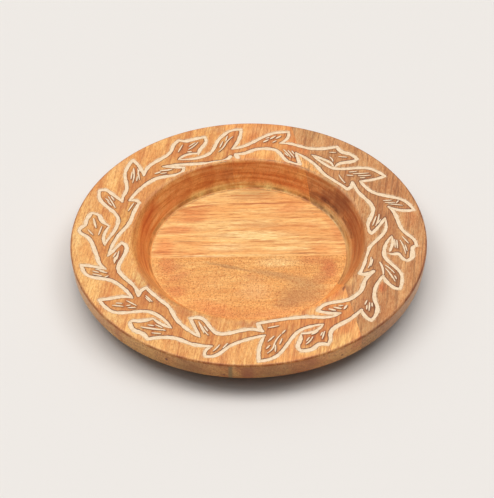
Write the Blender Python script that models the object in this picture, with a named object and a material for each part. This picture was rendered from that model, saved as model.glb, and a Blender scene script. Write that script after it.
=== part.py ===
"""A carved wooden offering plate: glued boards turned on a lathe, with a leaf garland cut into
the rim and filled with limewash paste.

Metres, +Z up.  The origin is the centre of the face that rests on the table, and -Y is the front.
"""

import math

import bmesh
import bpy
from mathutils import Vector

# Turned shape
PLATE_RADIUS = 0.1525
PLATE_HEIGHT = 0.030
RIM_EDGE_HEIGHT = 0.0162
RIM_EDGE_TAPER = 0.001
FLOOR_THICKNESS = 0.0092
FLOOR_RADIUS = 0.085
WELL_LIP_RADIUS = 0.1026
LIP_ROUNDING = 0.0046
WALL_SLOPE = math.radians(53)
EDGE_ROUNDING = 0.0018
BASE_RADIUS = 0.100
BASE_FLARE = 0.004
COVE_OUTER_RADIUS = 0.118

# Glue lines between the boards.  Each rim glue line is a point on it and its lean from the Y axis.
GLUE_GAP = 0.0003
LEFT_GLUE_LINE = (Vector((0.0, 0.0, 0.0)), math.radians(7.8))
RIGHT_GLUE_LINE = (Vector((0.0677, 0.0, 0.0)), math.radians(10.3))
FLOOR_GLUE_LINE_Y = -0.0045

# Carved garland
GROOVE_DEPTH = 0.0016
FILL_RECESS = 0.0003
FILL_GAP = 0.0003
STROKE_STEP = 0.006

TURNED_SEGMENTS = 96
ARC_SEGMENTS = 3
SHARP_EDGE = math.radians(30)

# Width of each kind of stroke in millimetres: where the knife enters, half way, and where it leaves.
STROKE_WIDTHS = {
    "leaf_a_front": (2.6, 4.0, 3.4),
    "leaf_a_back": (3.4, 3.6, 1.8),
    "lobed_stem": (2.6, 4.0, 3.4),
    "lobed_crown": (3.4, 4.4, 3.6),
    "lobed_side": (3.0, 4.0, 1.6),
    "lobed_base": (1.4, 3.0, 2.2),
    "leaf_b_front": (1.6, 4.0, 3.4),
    "leaf_b_back": (3.4, 3.6, 1.8),
    "inner_step": (3.0, 4.2, 3.4),
    "inner_front": (3.4, 4.0, 3.4),
    "inner_back": (3.2, 3.4, 1.8),
    "inner_stem": (1.8, 4.0, 3.4),
}

# One fill piece for each run of strokes that is carved without lifting the knife.
FILL_PIECES = {
    "leaf_a": ("leaf_a_front", "leaf_a_back"),
    "lobed_leaf": ("lobed_stem", "lobed_crown", "lobed_side"),
    "lobed_base": ("lobed_base",),
    "leaf_b": ("leaf_b_front", "leaf_b_back"),
    "inner_leaf": ("inner_step", "inner_front", "inner_back"),
    "inner_stem": ("inner_stem",),
}

# Strokes that a fill piece stops against: (repeats further round, stroke).
STOPS_AGAINST = {
    "leaf_a": ((-1, "leaf_b_back"),),
    "lobed_leaf": ((0, "leaf_a_back"), (0, "leaf_b_front")),
    "lobed_base": ((0, "lobed_side"), (0, "leaf_b_front")),
    "leaf_b": (),
    "inner_leaf": (),
    "inner_stem": ((0, "inner_back"), (1, "inner_step"), (1, "inner_front")),
}

# The garland is carved freehand, so its six repeats differ.  Each list is one stroke: points as
# (angle in degrees, radius in millimetres), joined by a smooth curve.  Repeats run clockwise.
GARLAND = [
    {
        "leaf_a_front": [(157, 119.5), (154.5, 121.5), (150.5, 123), (141, 139.5), (135, 145)],
        "leaf_a_back": [(135, 145), (135.5, 137.5), (138.5, 123)],
        "lobed_stem": [(138.5, 123), (135, 127), (121, 133), (118, 140), (115.5, 143)],
        "lobed_crown": [(115.5, 143), (114.5, 141), (113, 139), (111.5, 139), (106, 138.5)],
        "lobed_side": [(106, 138.5), (106, 134), (111, 120.5), (112, 117)],
        "lobed_base": [(121, 119.5), (116.5, 121.5), (112, 119)],
        "leaf_b_front": [(121, 119.5), (107.5, 114.5), (100, 134.5), (95.5, 142.5), (92, 143)],
        "leaf_b_back": [(92, 143), (92.5, 134), (96.5, 116.5)],
        "inner_step": [(155, 114), (154, 110.5), (154.5, 105)],
        "inner_front": [(155, 114), (137.5, 112), (123, 104.5), (122, 107.5)],
        "inner_back": [(122, 107.5), (129, 119.5)],
        "inner_stem": [(129, 119.5), (127, 117.5), (107.5, 102.5), (100, 103), (98, 106.5)],
    },
    {
        "leaf_a_front": [(96.5, 116.5), (93, 118), (78.5, 140.5), (74.5, 143.5)],
        "leaf_a_back": [(74.5, 143.5), (74, 135.5), (76, 126.5)],
        "lobed_stem": [(76, 126.5), (73.5, 127.5), (62.5, 128.5), (55, 142)],
        "lobed_crown": [(55, 142), (52, 138.5), (48.5, 140.5), (45, 139.5)],
        "lobed_side": [(45, 139.5), (45, 137), (48.5, 122.5), (48.5, 118.5)],
        "lobed_base": [(61, 120.5), (55, 120.5), (52, 120.5), (49.5, 118)],
        "leaf_b_front": [(61, 120.5), (53, 115.5), (50.5, 115), (37, 139.5), (31.5, 143)],
        "leaf_b_back": [(31.5, 143), (32, 134.5), (34.5, 121)],
        "inner_step": [(95.5, 109), (94.5, 103.5)],
        "inner_front": [(95.5, 109), (92, 109), (85, 115.5), (78, 116.5), (68, 103), (63, 104)],
        "inner_back": [(63, 104), (66, 111.5), (68, 117.5)],
        "inner_stem": [(68, 117.5), (57, 110.5), (48.5, 104), (37, 104.5), (33.5, 105)],
    },
    {
        "leaf_a_front": [(34.5, 121), (27.5, 121), (15.5, 144.5), (11.5, 147)],
        "leaf_a_back": [(11.5, 147), (12, 138), (15.5, 127)],
        "lobed_stem": [(15.5, 127), (13.5, 128.5), (1.5, 132.5), (-4.5, 142.5), (-6.5, 143.5)],
        "lobed_crown": [(353.5, 143.5), (352.5, 140.5), (351, 140.5), (347, 140.5), (345.5, 137.5)],
        "lobed_side": [(345.5, 137.5), (346, 134.5), (348.5, 128), (348, 125), (348, 121.5)],
        "lobed_base": [(358.5, 122.5), (356.5, 123), (349.5, 121.5)],
        "leaf_b_front": [(358.5, 122.5), (347, 117.5), (337.5, 138), (331.5, 142)],
        "leaf_b_back": [(331.5, 142), (331, 138.5), (331.5, 133.5), (335, 123.5)],
        "inner_step": [(36, 114.5), (33.5, 108), (33.5, 105)],
        "inner_front": [(36, 114.5), (30.5, 111.5), (17, 113.5), (2, 103.5), (0, 105.5)],
        "inner_back": [(0, 105.5), (2, 108.5), (9.5, 120)],
        "inner_stem": [(9.5, 120), (3.5, 118.5), (-12, 103), (-22, 104), (-28, 104.5)],
    },
    {
        "leaf_a_front": [(335, 123.5), (321.5, 132), (320, 136.5), (313.5, 143.5)],
        "leaf_a_back": [(313.5, 143.5), (313.5, 136.5), (315, 129.5)],
        "lobed_stem": [(315, 129.5), (310, 130.5), (299, 134), (297, 141.5), (295.5, 144.5)],
        "lobed_crown": [(295.5, 144.5), (293, 141), (290.5, 143.5), (286.5, 142.5)],
        "lobed_side": [(286.5, 142.5), (286, 139.5), (288.5, 128.5), (289, 125.5)],
        "lobed_base": [(299, 122.5), (297, 125), (289.5, 124.5)],
        "leaf_b_front": [(299, 122.5), (291.5, 120), (276, 146), (272.5, 147.5)],
        "leaf_b_back": [(272.5, 147.5), (274, 126), (275.5, 119.5)],
        "inner_step": [(336, 114), (332.5, 108), (332, 104.5)],
        "inner_front": [(336, 114), (330, 112), (322.5, 115.5), (317, 114.5), (305, 105), (301, 107)],
        "inner_back": [(301, 107), (306, 117.5), (308, 120.5)],
        "inner_stem": [(308, 120.5), (305.5, 120), (294, 108), (273.5, 105.5)],
    },
    {
        "leaf_a_front": [(275.5, 119.5), (263.5, 129.5), (257.5, 144.5), (255.5, 145.5)],
        "leaf_a_back": [(255.5, 145.5), (255, 142.5), (256.5, 133.5)],
        "lobed_stem": [(256.5, 133.5), (250.5, 135.5), (242.5, 135), (235.5, 146.5)],
        "lobed_crown": [(235.5, 146.5), (233, 144), (229, 145), (226, 141)],
        "lobed_side": [(226, 141), (226, 138.5), (227.5, 135.5), (231, 125)],
        "lobed_base": [(239.5, 126), (235, 126.5), (231, 125.5)],
        "leaf_b_front": [(239.5, 126), (228.5, 121), (217.5, 144), (211, 145)],
        "leaf_b_back": [(211, 145), (212.5, 136.5), (214.5, 126), (217, 121.5)],
        "inner_step": [(275, 114.5), (274, 110.5), (273.5, 105.5)],
        "inner_front": [(275, 114.5), (272, 112), (257, 118.5), (246.5, 106), (243.5, 109.5)],
        "inner_back": [(243.5, 109.5), (251, 126)],
        "inner_stem": [(251, 126), (240, 117), (230, 106.5), (226.5, 106), (215.5, 105.5)],
    },
    {
        "leaf_a_front": [(217, 121.5), (205, 125.5), (197.5, 144), (193, 145)],
        "leaf_a_back": [(193, 145), (194.5, 137), (197.5, 126.5)],
        "lobed_stem": [(197.5, 126.5), (194.5, 129.5), (188.5, 131), (179, 138.5), (177, 144.5), (176, 146)],
        "lobed_crown": [(176, 146), (174.5, 145), (173, 142), (171, 142), (166.5, 140)],
        "lobed_side": [(166.5, 140), (167, 133.5), (170.5, 127.5), (172.5, 121)],
        "lobed_base": [(184, 123), (181.5, 124), (173, 121)],
        "leaf_b_front": [(184, 123), (182, 121.5), (174.5, 115), (169, 114.5), (157, 142), (154.5, 144.5)],
        "leaf_b_back": [(154.5, 144.5), (153.5, 141), (154.5, 131.5), (157, 119.5)],
        "inner_step": [(217.5, 116), (216, 112), (215.5, 105.5)],
        "inner_front": [(217.5, 116), (214.5, 113.5), (199.5, 116.5), (184.5, 106), (183, 108.5)],
        "inner_back": [(183, 108.5), (190.5, 121.5)],
        "inner_stem": [(190.5, 121.5), (180, 113), (168, 104), (162, 104.5), (154.5, 105)],
    },
]


def srgb(red, green, blue):
    """A 0-255 screen colour as the linear colour that a shader takes."""
    def linear(value):
        value /= 255
        return value / 12.92 if value <= 0.04045 else ((value + 0.055) / 1.055) ** 2.4

    return (linear(red), linear(green), linear(blue), 1.0)


MATERIALS = {
    "wood_honey": (srgb(222, 150, 88), 0.48),
    "wood_tan": (srgb(205, 142, 92), 0.5),
    "wood_amber": (srgb(232, 158, 88), 0.46),
    "limewash": (srgb(243, 224, 192), 0.75),
}


def clear_scene():
    for obj in list(bpy.data.objects):
        bpy.data.objects.remove(obj, do_unlink=True)


def material(name):
    if name in bpy.data.materials:
        return bpy.data.materials[name]
    colour, roughness = MATERIALS[name]
    made = bpy.data.materials.new(name)
    made.use_nodes = True
    shader = made.node_tree.nodes["Principled BSDF"]
    shader.inputs["Base Color"].default_value = colour
    shader.inputs["Roughness"].default_value = roughness
    shader.inputs["Metallic"].default_value = 0.0
    return made


def add_object(name, mesh, material_name=None):
    obj = bpy.data.objects.new(name, mesh)
    bpy.context.scene.collection.objects.link(obj)
    if material_name:
        mesh.materials.append(material(material_name))
    return obj


def as_mesh(name, bm):
    bmesh.ops.recalc_face_normals(bm, faces=bm.faces)
    mesh = bpy.data.meshes.new(name)
    bm.to_mesh(mesh)
    bm.free()
    mesh.shade_smooth()
    mesh.set_sharp_from_angle(angle=SHARP_EDGE)
    return mesh


def arc(centre_r, centre_z, radius, start, end):
    """Points (r, z) on an arc, both ends included; angles in radians from the outward direction."""
    points = []
    for step in range(ARC_SEGMENTS + 1):
        angle = start + (end - start) * step / ARC_SEGMENTS
        points.append((centre_r + radius * math.cos(angle), centre_z + radius * math.sin(angle)))
    return points


def rim_profile():
    """Closed outline (r, z) of the rim layer: up the well wall, over the rim and back underneath."""
    top = PLATE_HEIGHT
    bottom = FLOOR_THICKNESS + GLUE_GAP
    quarter = math.pi / 2
    lip = arc(WELL_LIP_RADIUS, top - LIP_ROUNDING, LIP_ROUNDING, quarter + WALL_SLOPE, quarter)
    edge_top = arc(PLATE_RADIUS - EDGE_ROUNDING, top - EDGE_ROUNDING, EDGE_ROUNDING, quarter, 0)
    low = top - RIM_EDGE_HEIGHT
    low_radius = PLATE_RADIUS - RIM_EDGE_TAPER - EDGE_ROUNDING
    edge_bottom = arc(low_radius, low + EDGE_ROUNDING, EDGE_ROUNDING, 0, -quarter)
    foot = [(BASE_RADIUS + BASE_FLARE, bottom), (FLOOR_RADIUS, bottom)]
    return lip + edge_top + edge_bottom + [(COVE_OUTER_RADIUS, low - 0.0012)] + foot


def turned_ring(profile):
    """A closed ring swept from a closed outline (r, z) about the Z axis."""
    bm = bmesh.new()
    rows = []
    for segment in range(TURNED_SEGMENTS):
        angle = 2 * math.pi * segment / TURNED_SEGMENTS
        rows.append([bm.verts.new((r * math.cos(angle), r * math.sin(angle), z)) for r, z in profile])
    for segment, row in enumerate(rows):
        following = rows[(segment + 1) % TURNED_SEGMENTS]
        for corner in range(len(profile)):
            beyond = (corner + 1) % len(profile)
            bm.faces.new((row[corner], following[corner], following[beyond], row[beyond]))
    return bm


def turned_disc(profile):
    """A closed disc swept from an outline (r, z) that runs from its top edge to its bottom edge."""
    bm = bmesh.new()
    rings = []
    for r, z in profile:
        ring = []
        for segment in range(TURNED_SEGMENTS):
            angle = 2 * math.pi * segment / TURNED_SEGMENTS
            ring.append(bm.verts.new((r * math.cos(angle), r * math.sin(angle), z)))
        rings.append(ring)
    for upper, lower in zip(rings, rings[1:]):
        for segment in range(TURNED_SEGMENTS):
            beyond = (segment + 1) % TURNED_SEGMENTS
            bm.faces.new((upper[segment], lower[segment], lower[beyond], upper[beyond]))
    bm.faces.new(rings[0])
    bm.faces.new(list(reversed(rings[-1])))
    return bm


def keep_side(bm, point, direction):
    """Saw the solid at a vertical plane, keep the side that direction points to, and close the cut."""
    cut = bmesh.ops.bisect_plane(
        bm,
        geom=bm.verts[:] + bm.edges[:] + bm.faces[:],
        dist=1e-7,
        plane_co=point + direction * (GLUE_GAP / 2),
        plane_no=direction,
        clear_inner=True,
    )
    edges = [item for item in cut["geom_cut"] if isinstance(item, bmesh.types.BMEdge)]
    bmesh.ops.holes_fill(bm, edges=edges)


def rim_board(name, material_name, cuts):
    bm = turned_ring(rim_profile())
    for point, direction in cuts:
        keep_side(bm, point, direction)
    return add_object(name, as_mesh(name, bm), material_name)


def floor_board(name, material_name, direction):
    base = [
        (BASE_RADIUS + BASE_FLARE, FLOOR_THICKNESS),
        (BASE_RADIUS + BASE_FLARE * 0.8, FLOOR_THICKNESS * 0.5),
        (BASE_RADIUS, 0.0),
    ]
    bm = turned_disc(base)
    keep_side(bm, Vector((0.0, FLOOR_GLUE_LINE_Y, 0.0)), direction)
    return add_object(name, as_mesh(name, bm), material_name)


def make_boards():
    """Four rim boards and two floor boards, sawn from the turned shapes along the glue lines."""
    left_point, left_lean = LEFT_GLUE_LINE
    right_point, right_lean = RIGHT_GLUE_LINE
    right_of_left = Vector((math.cos(left_lean), math.sin(left_lean), 0.0))
    right_of_right = Vector((math.cos(right_lean), math.sin(right_lean), 0.0))
    middle = [(left_point, right_of_left), (right_point, -right_of_right)]
    centre = Vector((0.0, 0.0, 0.0))
    back = Vector((0.0, 1.0, 0.0))
    floor_board("floor_board_back", "wood_amber", back)
    floor_board("floor_board_front", "wood_honey", -back)
    return [
        rim_board("rim_board_left", "wood_honey", [(left_point, -right_of_left)]),
        rim_board("rim_board_middle_back", "wood_amber", middle + [(centre, back)]),
        rim_board("rim_board_middle_front", "wood_amber", middle + [(centre, -back)]),
        rim_board("rim_board_right", "wood_tan", [(right_point, right_of_right)]),
    ]


def smooth_curve(points):
    """Points about STROKE_STEP apart on a smooth curve through the given points."""
    spans = [(b - a).length for a, b in zip(points, points[1:])]
    slopes = [(b - a) / span for a, b, span in zip(points, points[1:], spans)]
    tangents = [slopes[0]]
    for before, after, slope_in, slope_out in zip(spans, spans[1:], slopes, slopes[1:]):
        tangents.append((slope_in * after + slope_out * before) / (before + after))
    tangents.append(slopes[-1])
    if len(points) > 2:
        tangents[0] = 2 * slopes[0] - tangents[1]
        tangents[-1] = 2 * slopes[-1] - tangents[-2]
    curve = []
    for index, span in enumerate(spans):
        steps = max(1, round(span / STROKE_STEP))
        for step in range(steps):
            u = step / steps
            curve.append(
                (2 * u**3 - 3 * u**2 + 1) * points[index]
                + (u**3 - 2 * u**2 + u) * span * tangents[index]
                + (3 * u**2 - 2 * u**3) * points[index + 1]
                + (u**3 - u**2) * span * tangents[index + 1]
            )
    return curve + [points[-1]]


def stroke_half_widths(kind, curve):
    """Half the stroke's width at each point: full in the middle third, narrower towards its ends."""
    start, middle, end = (width / 2000 for width in STROKE_WIDTHS[kind])
    travelled = [0.0]
    for a, b in zip(curve, curve[1:]):
        travelled.append(travelled[-1] + (b - a).length)
    widths = []
    for distance in travelled:
        along = distance / travelled[-1]
        entering = max(0.0, 1 - 3 * along) ** 2
        leaving = max(0.0, 3 * along - 2) ** 2
        widths.append(middle + (start - middle) * entering + (end - middle) * leaving)
    return widths


def stroke_mesh(repeat, kind, name, grow, low, high):
    """A closed strip along one stroke, grown sideways and at its ends, from height low to high."""
    points = []
    for degrees, millimetres in GARLAND[repeat % len(GARLAND)][kind]:
        angle = math.radians(degrees)
        points.append(Vector((math.cos(angle), math.sin(angle), 0.0)) * millimetres / 1000)
    curve = smooth_curve(points)
    widths = [half + grow for half in stroke_half_widths(kind, curve)]
    bm = bmesh.new()
    sections = []
    last = len(curve) - 1
    for index, (place, half) in enumerate(zip(curve, widths)):
        along = (curve[min(index + 1, last)] - curve[max(index - 1, 0)]).normalized()
        across = Vector((-along.y, along.x, 0.0)) * half
        if index == 0:
            place = place - along * grow
        if index == last:
            place = place + along * grow
        section = []
        for side, height in ((1, high), (1, low), (-1, low), (-1, high)):
            corner = place + across * side
            section.append(bm.verts.new((corner.x, corner.y, height)))
        sections.append(section)
    for near, far in zip(sections, sections[1:]):
        for corner in range(4):
            beyond = (corner + 1) % 4
            bm.faces.new((near[corner], near[beyond], far[beyond], far[corner]))
    bm.faces.new(sections[0])
    bm.faces.new(list(reversed(sections[-1])))
    return as_mesh(name, bm)


def make_cutters():
    """One groove cutter for each stroke, hidden, keyed by (repeat, stroke)."""
    collection = bpy.data.collections.new("groove_cutters")
    bpy.context.scene.collection.children.link(collection)
    cutters = {}
    for repeat, strokes in enumerate(GARLAND):
        for kind in strokes:
            name = f"cut_{kind}_{repeat + 1}"
            low = PLATE_HEIGHT - GROOVE_DEPTH
            mesh = stroke_mesh(repeat, kind, name, FILL_GAP, low, PLATE_HEIGHT + GROOVE_DEPTH)
            cutter = bpy.data.objects.new(name, mesh)
            collection.objects.link(cutter)
            cutter.hide_render = True
            cutter.display_type = "WIRE"
            cutters[repeat, kind] = cutter
    return collection, cutters


def boolean(obj, operation, other):
    modifier = obj.modifiers.new(other.name, "BOOLEAN")
    modifier.operation = operation
    modifier.solver = "EXACT"
    modifier.object = other


def connected_bodies(bm):
    """The vertices of each separate body in the mesh."""
    unseen = set(bm.verts)
    bodies = []
    while unseen:
        body = set()
        reached = [next(iter(unseen))]
        while reached:
            vert = reached.pop()
            if vert in unseen:
                unseen.remove(vert)
                body.add(vert)
                reached.extend(edge.other_vert(vert) for edge in vert.link_edges)
        bodies.append(body)
    return bodies


def settle(obj):
    """Replace the object's mesh by its evaluated one, and keep only the largest body of it."""
    graph = bpy.context.evaluated_depsgraph_get()
    mesh = bpy.data.meshes.new_from_object(obj.evaluated_get(graph))
    obj.modifiers.clear()
    obj.data = mesh
    bm = bmesh.new()
    bm.from_mesh(mesh)
    area = {vert: sum(face.calc_area() for face in vert.link_faces) for vert in bm.verts}
    largest = max(connected_bodies(bm), key=lambda body: sum(area[vert] for vert in body))
    crumbs = [vert for vert in bm.verts if vert not in largest]
    bmesh.ops.delete(bm, geom=crumbs, context="VERTS")
    bm.to_mesh(mesh)
    bm.free()


def carve_boards(boards, collection):
    for board in boards:
        modifier = board.modifiers.new("garland", "BOOLEAN")
        modifier.operation = "DIFFERENCE"
        modifier.solver = "EXACT"
        modifier.operand_type = "COLLECTION"
        modifier.collection = collection


def make_fills(cutters):
    """The paste in the grooves: one solid for each run of strokes, a hair's gap from its neighbours."""
    low = PLATE_HEIGHT - GROOVE_DEPTH + FILL_GAP
    high = PLATE_HEIGHT - FILL_RECESS
    for repeat in range(len(GARLAND)):
        for piece, kinds in FILL_PIECES.items():
            name = f"fill_{piece}_{repeat + 1}"
            fill = add_object(name, stroke_mesh(repeat, kinds[0], name, 0, low, high), "limewash")
            joined = []
            for kind in kinds[1:]:
                part = add_object(f"{name}_{kind}", stroke_mesh(repeat, kind, kind, 0, low, high))
                boolean(fill, "UNION", part)
                joined.append(part)
            for further, kind in STOPS_AGAINST[piece]:
                boolean(fill, "DIFFERENCE", cutters[(repeat + further) % len(GARLAND), kind])
            settle(fill)
            for part in joined:
                bpy.data.objects.remove(part, do_unlink=True)


def main():
    clear_scene()
    boards = make_boards()
    collection, cutters = make_cutters()
    make_fills(cutters)
    carve_boards(boards, collection)


main()
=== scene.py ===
"""The looks of the carved wooden offering plate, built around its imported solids.

Lengths are millimetres in the design functions and metres in the meshes.  The plate's axis is Z, the
table is z = 0, and -Y is the front.  Headings are degrees round the axis, from +X towards +Y.
"""

import math

import bmesh
import bpy
import numpy as np
from mathutils import Matrix, Vector, noise


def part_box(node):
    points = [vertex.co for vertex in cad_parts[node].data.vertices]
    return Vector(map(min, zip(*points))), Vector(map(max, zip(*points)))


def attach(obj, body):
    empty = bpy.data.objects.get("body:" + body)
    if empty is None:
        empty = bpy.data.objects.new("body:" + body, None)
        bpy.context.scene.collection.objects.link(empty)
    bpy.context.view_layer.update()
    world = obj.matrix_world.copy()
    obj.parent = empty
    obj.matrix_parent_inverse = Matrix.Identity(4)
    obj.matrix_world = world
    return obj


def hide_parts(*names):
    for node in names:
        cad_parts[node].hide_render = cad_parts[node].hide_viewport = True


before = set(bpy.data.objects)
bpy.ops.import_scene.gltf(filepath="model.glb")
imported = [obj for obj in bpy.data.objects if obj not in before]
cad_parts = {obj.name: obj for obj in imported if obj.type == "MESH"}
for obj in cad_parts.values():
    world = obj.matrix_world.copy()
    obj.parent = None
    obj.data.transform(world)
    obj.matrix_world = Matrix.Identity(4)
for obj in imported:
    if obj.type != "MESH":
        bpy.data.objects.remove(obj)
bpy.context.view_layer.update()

MM = 0.001
QUARTER = math.pi / 2

# Turned shape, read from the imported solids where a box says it
PLATE_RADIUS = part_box("rim_board_left")[0][0] / -MM
PLATE_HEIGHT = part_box("rim_board_left")[1][2] / MM
FLOOR_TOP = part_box("floor_board_back")[1][2] / MM
RING_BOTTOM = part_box("rim_board_left")[0][2] / MM
RIM_EDGE_HEIGHT = 16.2
RIM_EDGE_TAPER = 1.0
FLOOR_RADIUS = 85.0
WELL_LIP_RADIUS = 102.6
LIP_ROUNDING = 4.6
WALL_SLOPE = math.radians(53)
COVE_ROUNDING = 1.6
EDGE_ROUNDING = 1.8
COVE_OUTER_RADIUS = 118.0
BASE_RADIUS = 100.0
BASE_FLARE = 4.0
BASE_ROUNDING = 1.2

# Glue lines: a point on each in the plan, and the way its line leans from the Y axis
GLUE_GAP = 0.06
LEFT_GLUE_LINE = ((0.0, 0.0), math.radians(7.8))
RIGHT_GLUE_LINE = ((67.7, 0.0), math.radians(10.3))
FLOOR_GLUE_LINE_Y = -4.5

# Carving.  The cut of a scratch lies a little beside its paste, and its dark side is painted shade.
GROOVE_DEPTH = 1.25
GROOVE_WALL = 0.7
SCRATCH_DEPTH = 0.22
SCRATCH_SHIFT = (0.4, -0.45)
SCRATCH_HALF_WIDTH = 0.66
DAB_HALF_WIDTH = 0.95
STROKE_STEP = 0.9
# How much a hand-cut stroke's width wanders, slowly and quickly: (distance, share of the width)
HAND_WOBBLE = (5, 0.24)
EDGE_ROUGHNESS = (1.3, 0.14)

# Paste
PASTE_EDGE_DROP = 0.3
PASTE_HOLLOW = 0.12
PASTE_DEPTH = 1.25
PASTE_GAP = 0.16
PASTE_LUMP_SIZE = 1.3
PASTE_LUMP_HEIGHT = 0.05
SCRATCH_PASTE_DEPTH = 0.4
SCRATCH_PASTE_HOLLOW = 0.02

# Wear: depth of the shallow waves of the flat, where they fade in and out, and how far the oiled colour
# of the slope has been rubbed back from the lip at the left
WAVE_DEPTH = 0.05
WAVES_FROM = (102.6, 106)
WAVES_TO = (150.7, 147)
LIP_WEAR = 3.6

# Light
STUDIO_LOW = 0.02
STUDIO_HIGH = 0.62
STUDIO_TINT = (1.0, 0.985, 0.965, 1.0)
# A row of soft lamps overhead: (how far to the side for one up, strength)
LAMPS = ((-0.62, 0.74), (0.0, 0.8), (0.62, 0.72))
LAMP_BACK = 0.25
LAMP_ANGLE = 30
TABLE_HALF_SIDE = 3.0

# Surface mesh
ANGLE_STEP = 0.3
RADIAL_STEP = 0.5
FLOOR_ANGLE_STEP = 2.0
FAR = 20.0

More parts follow.
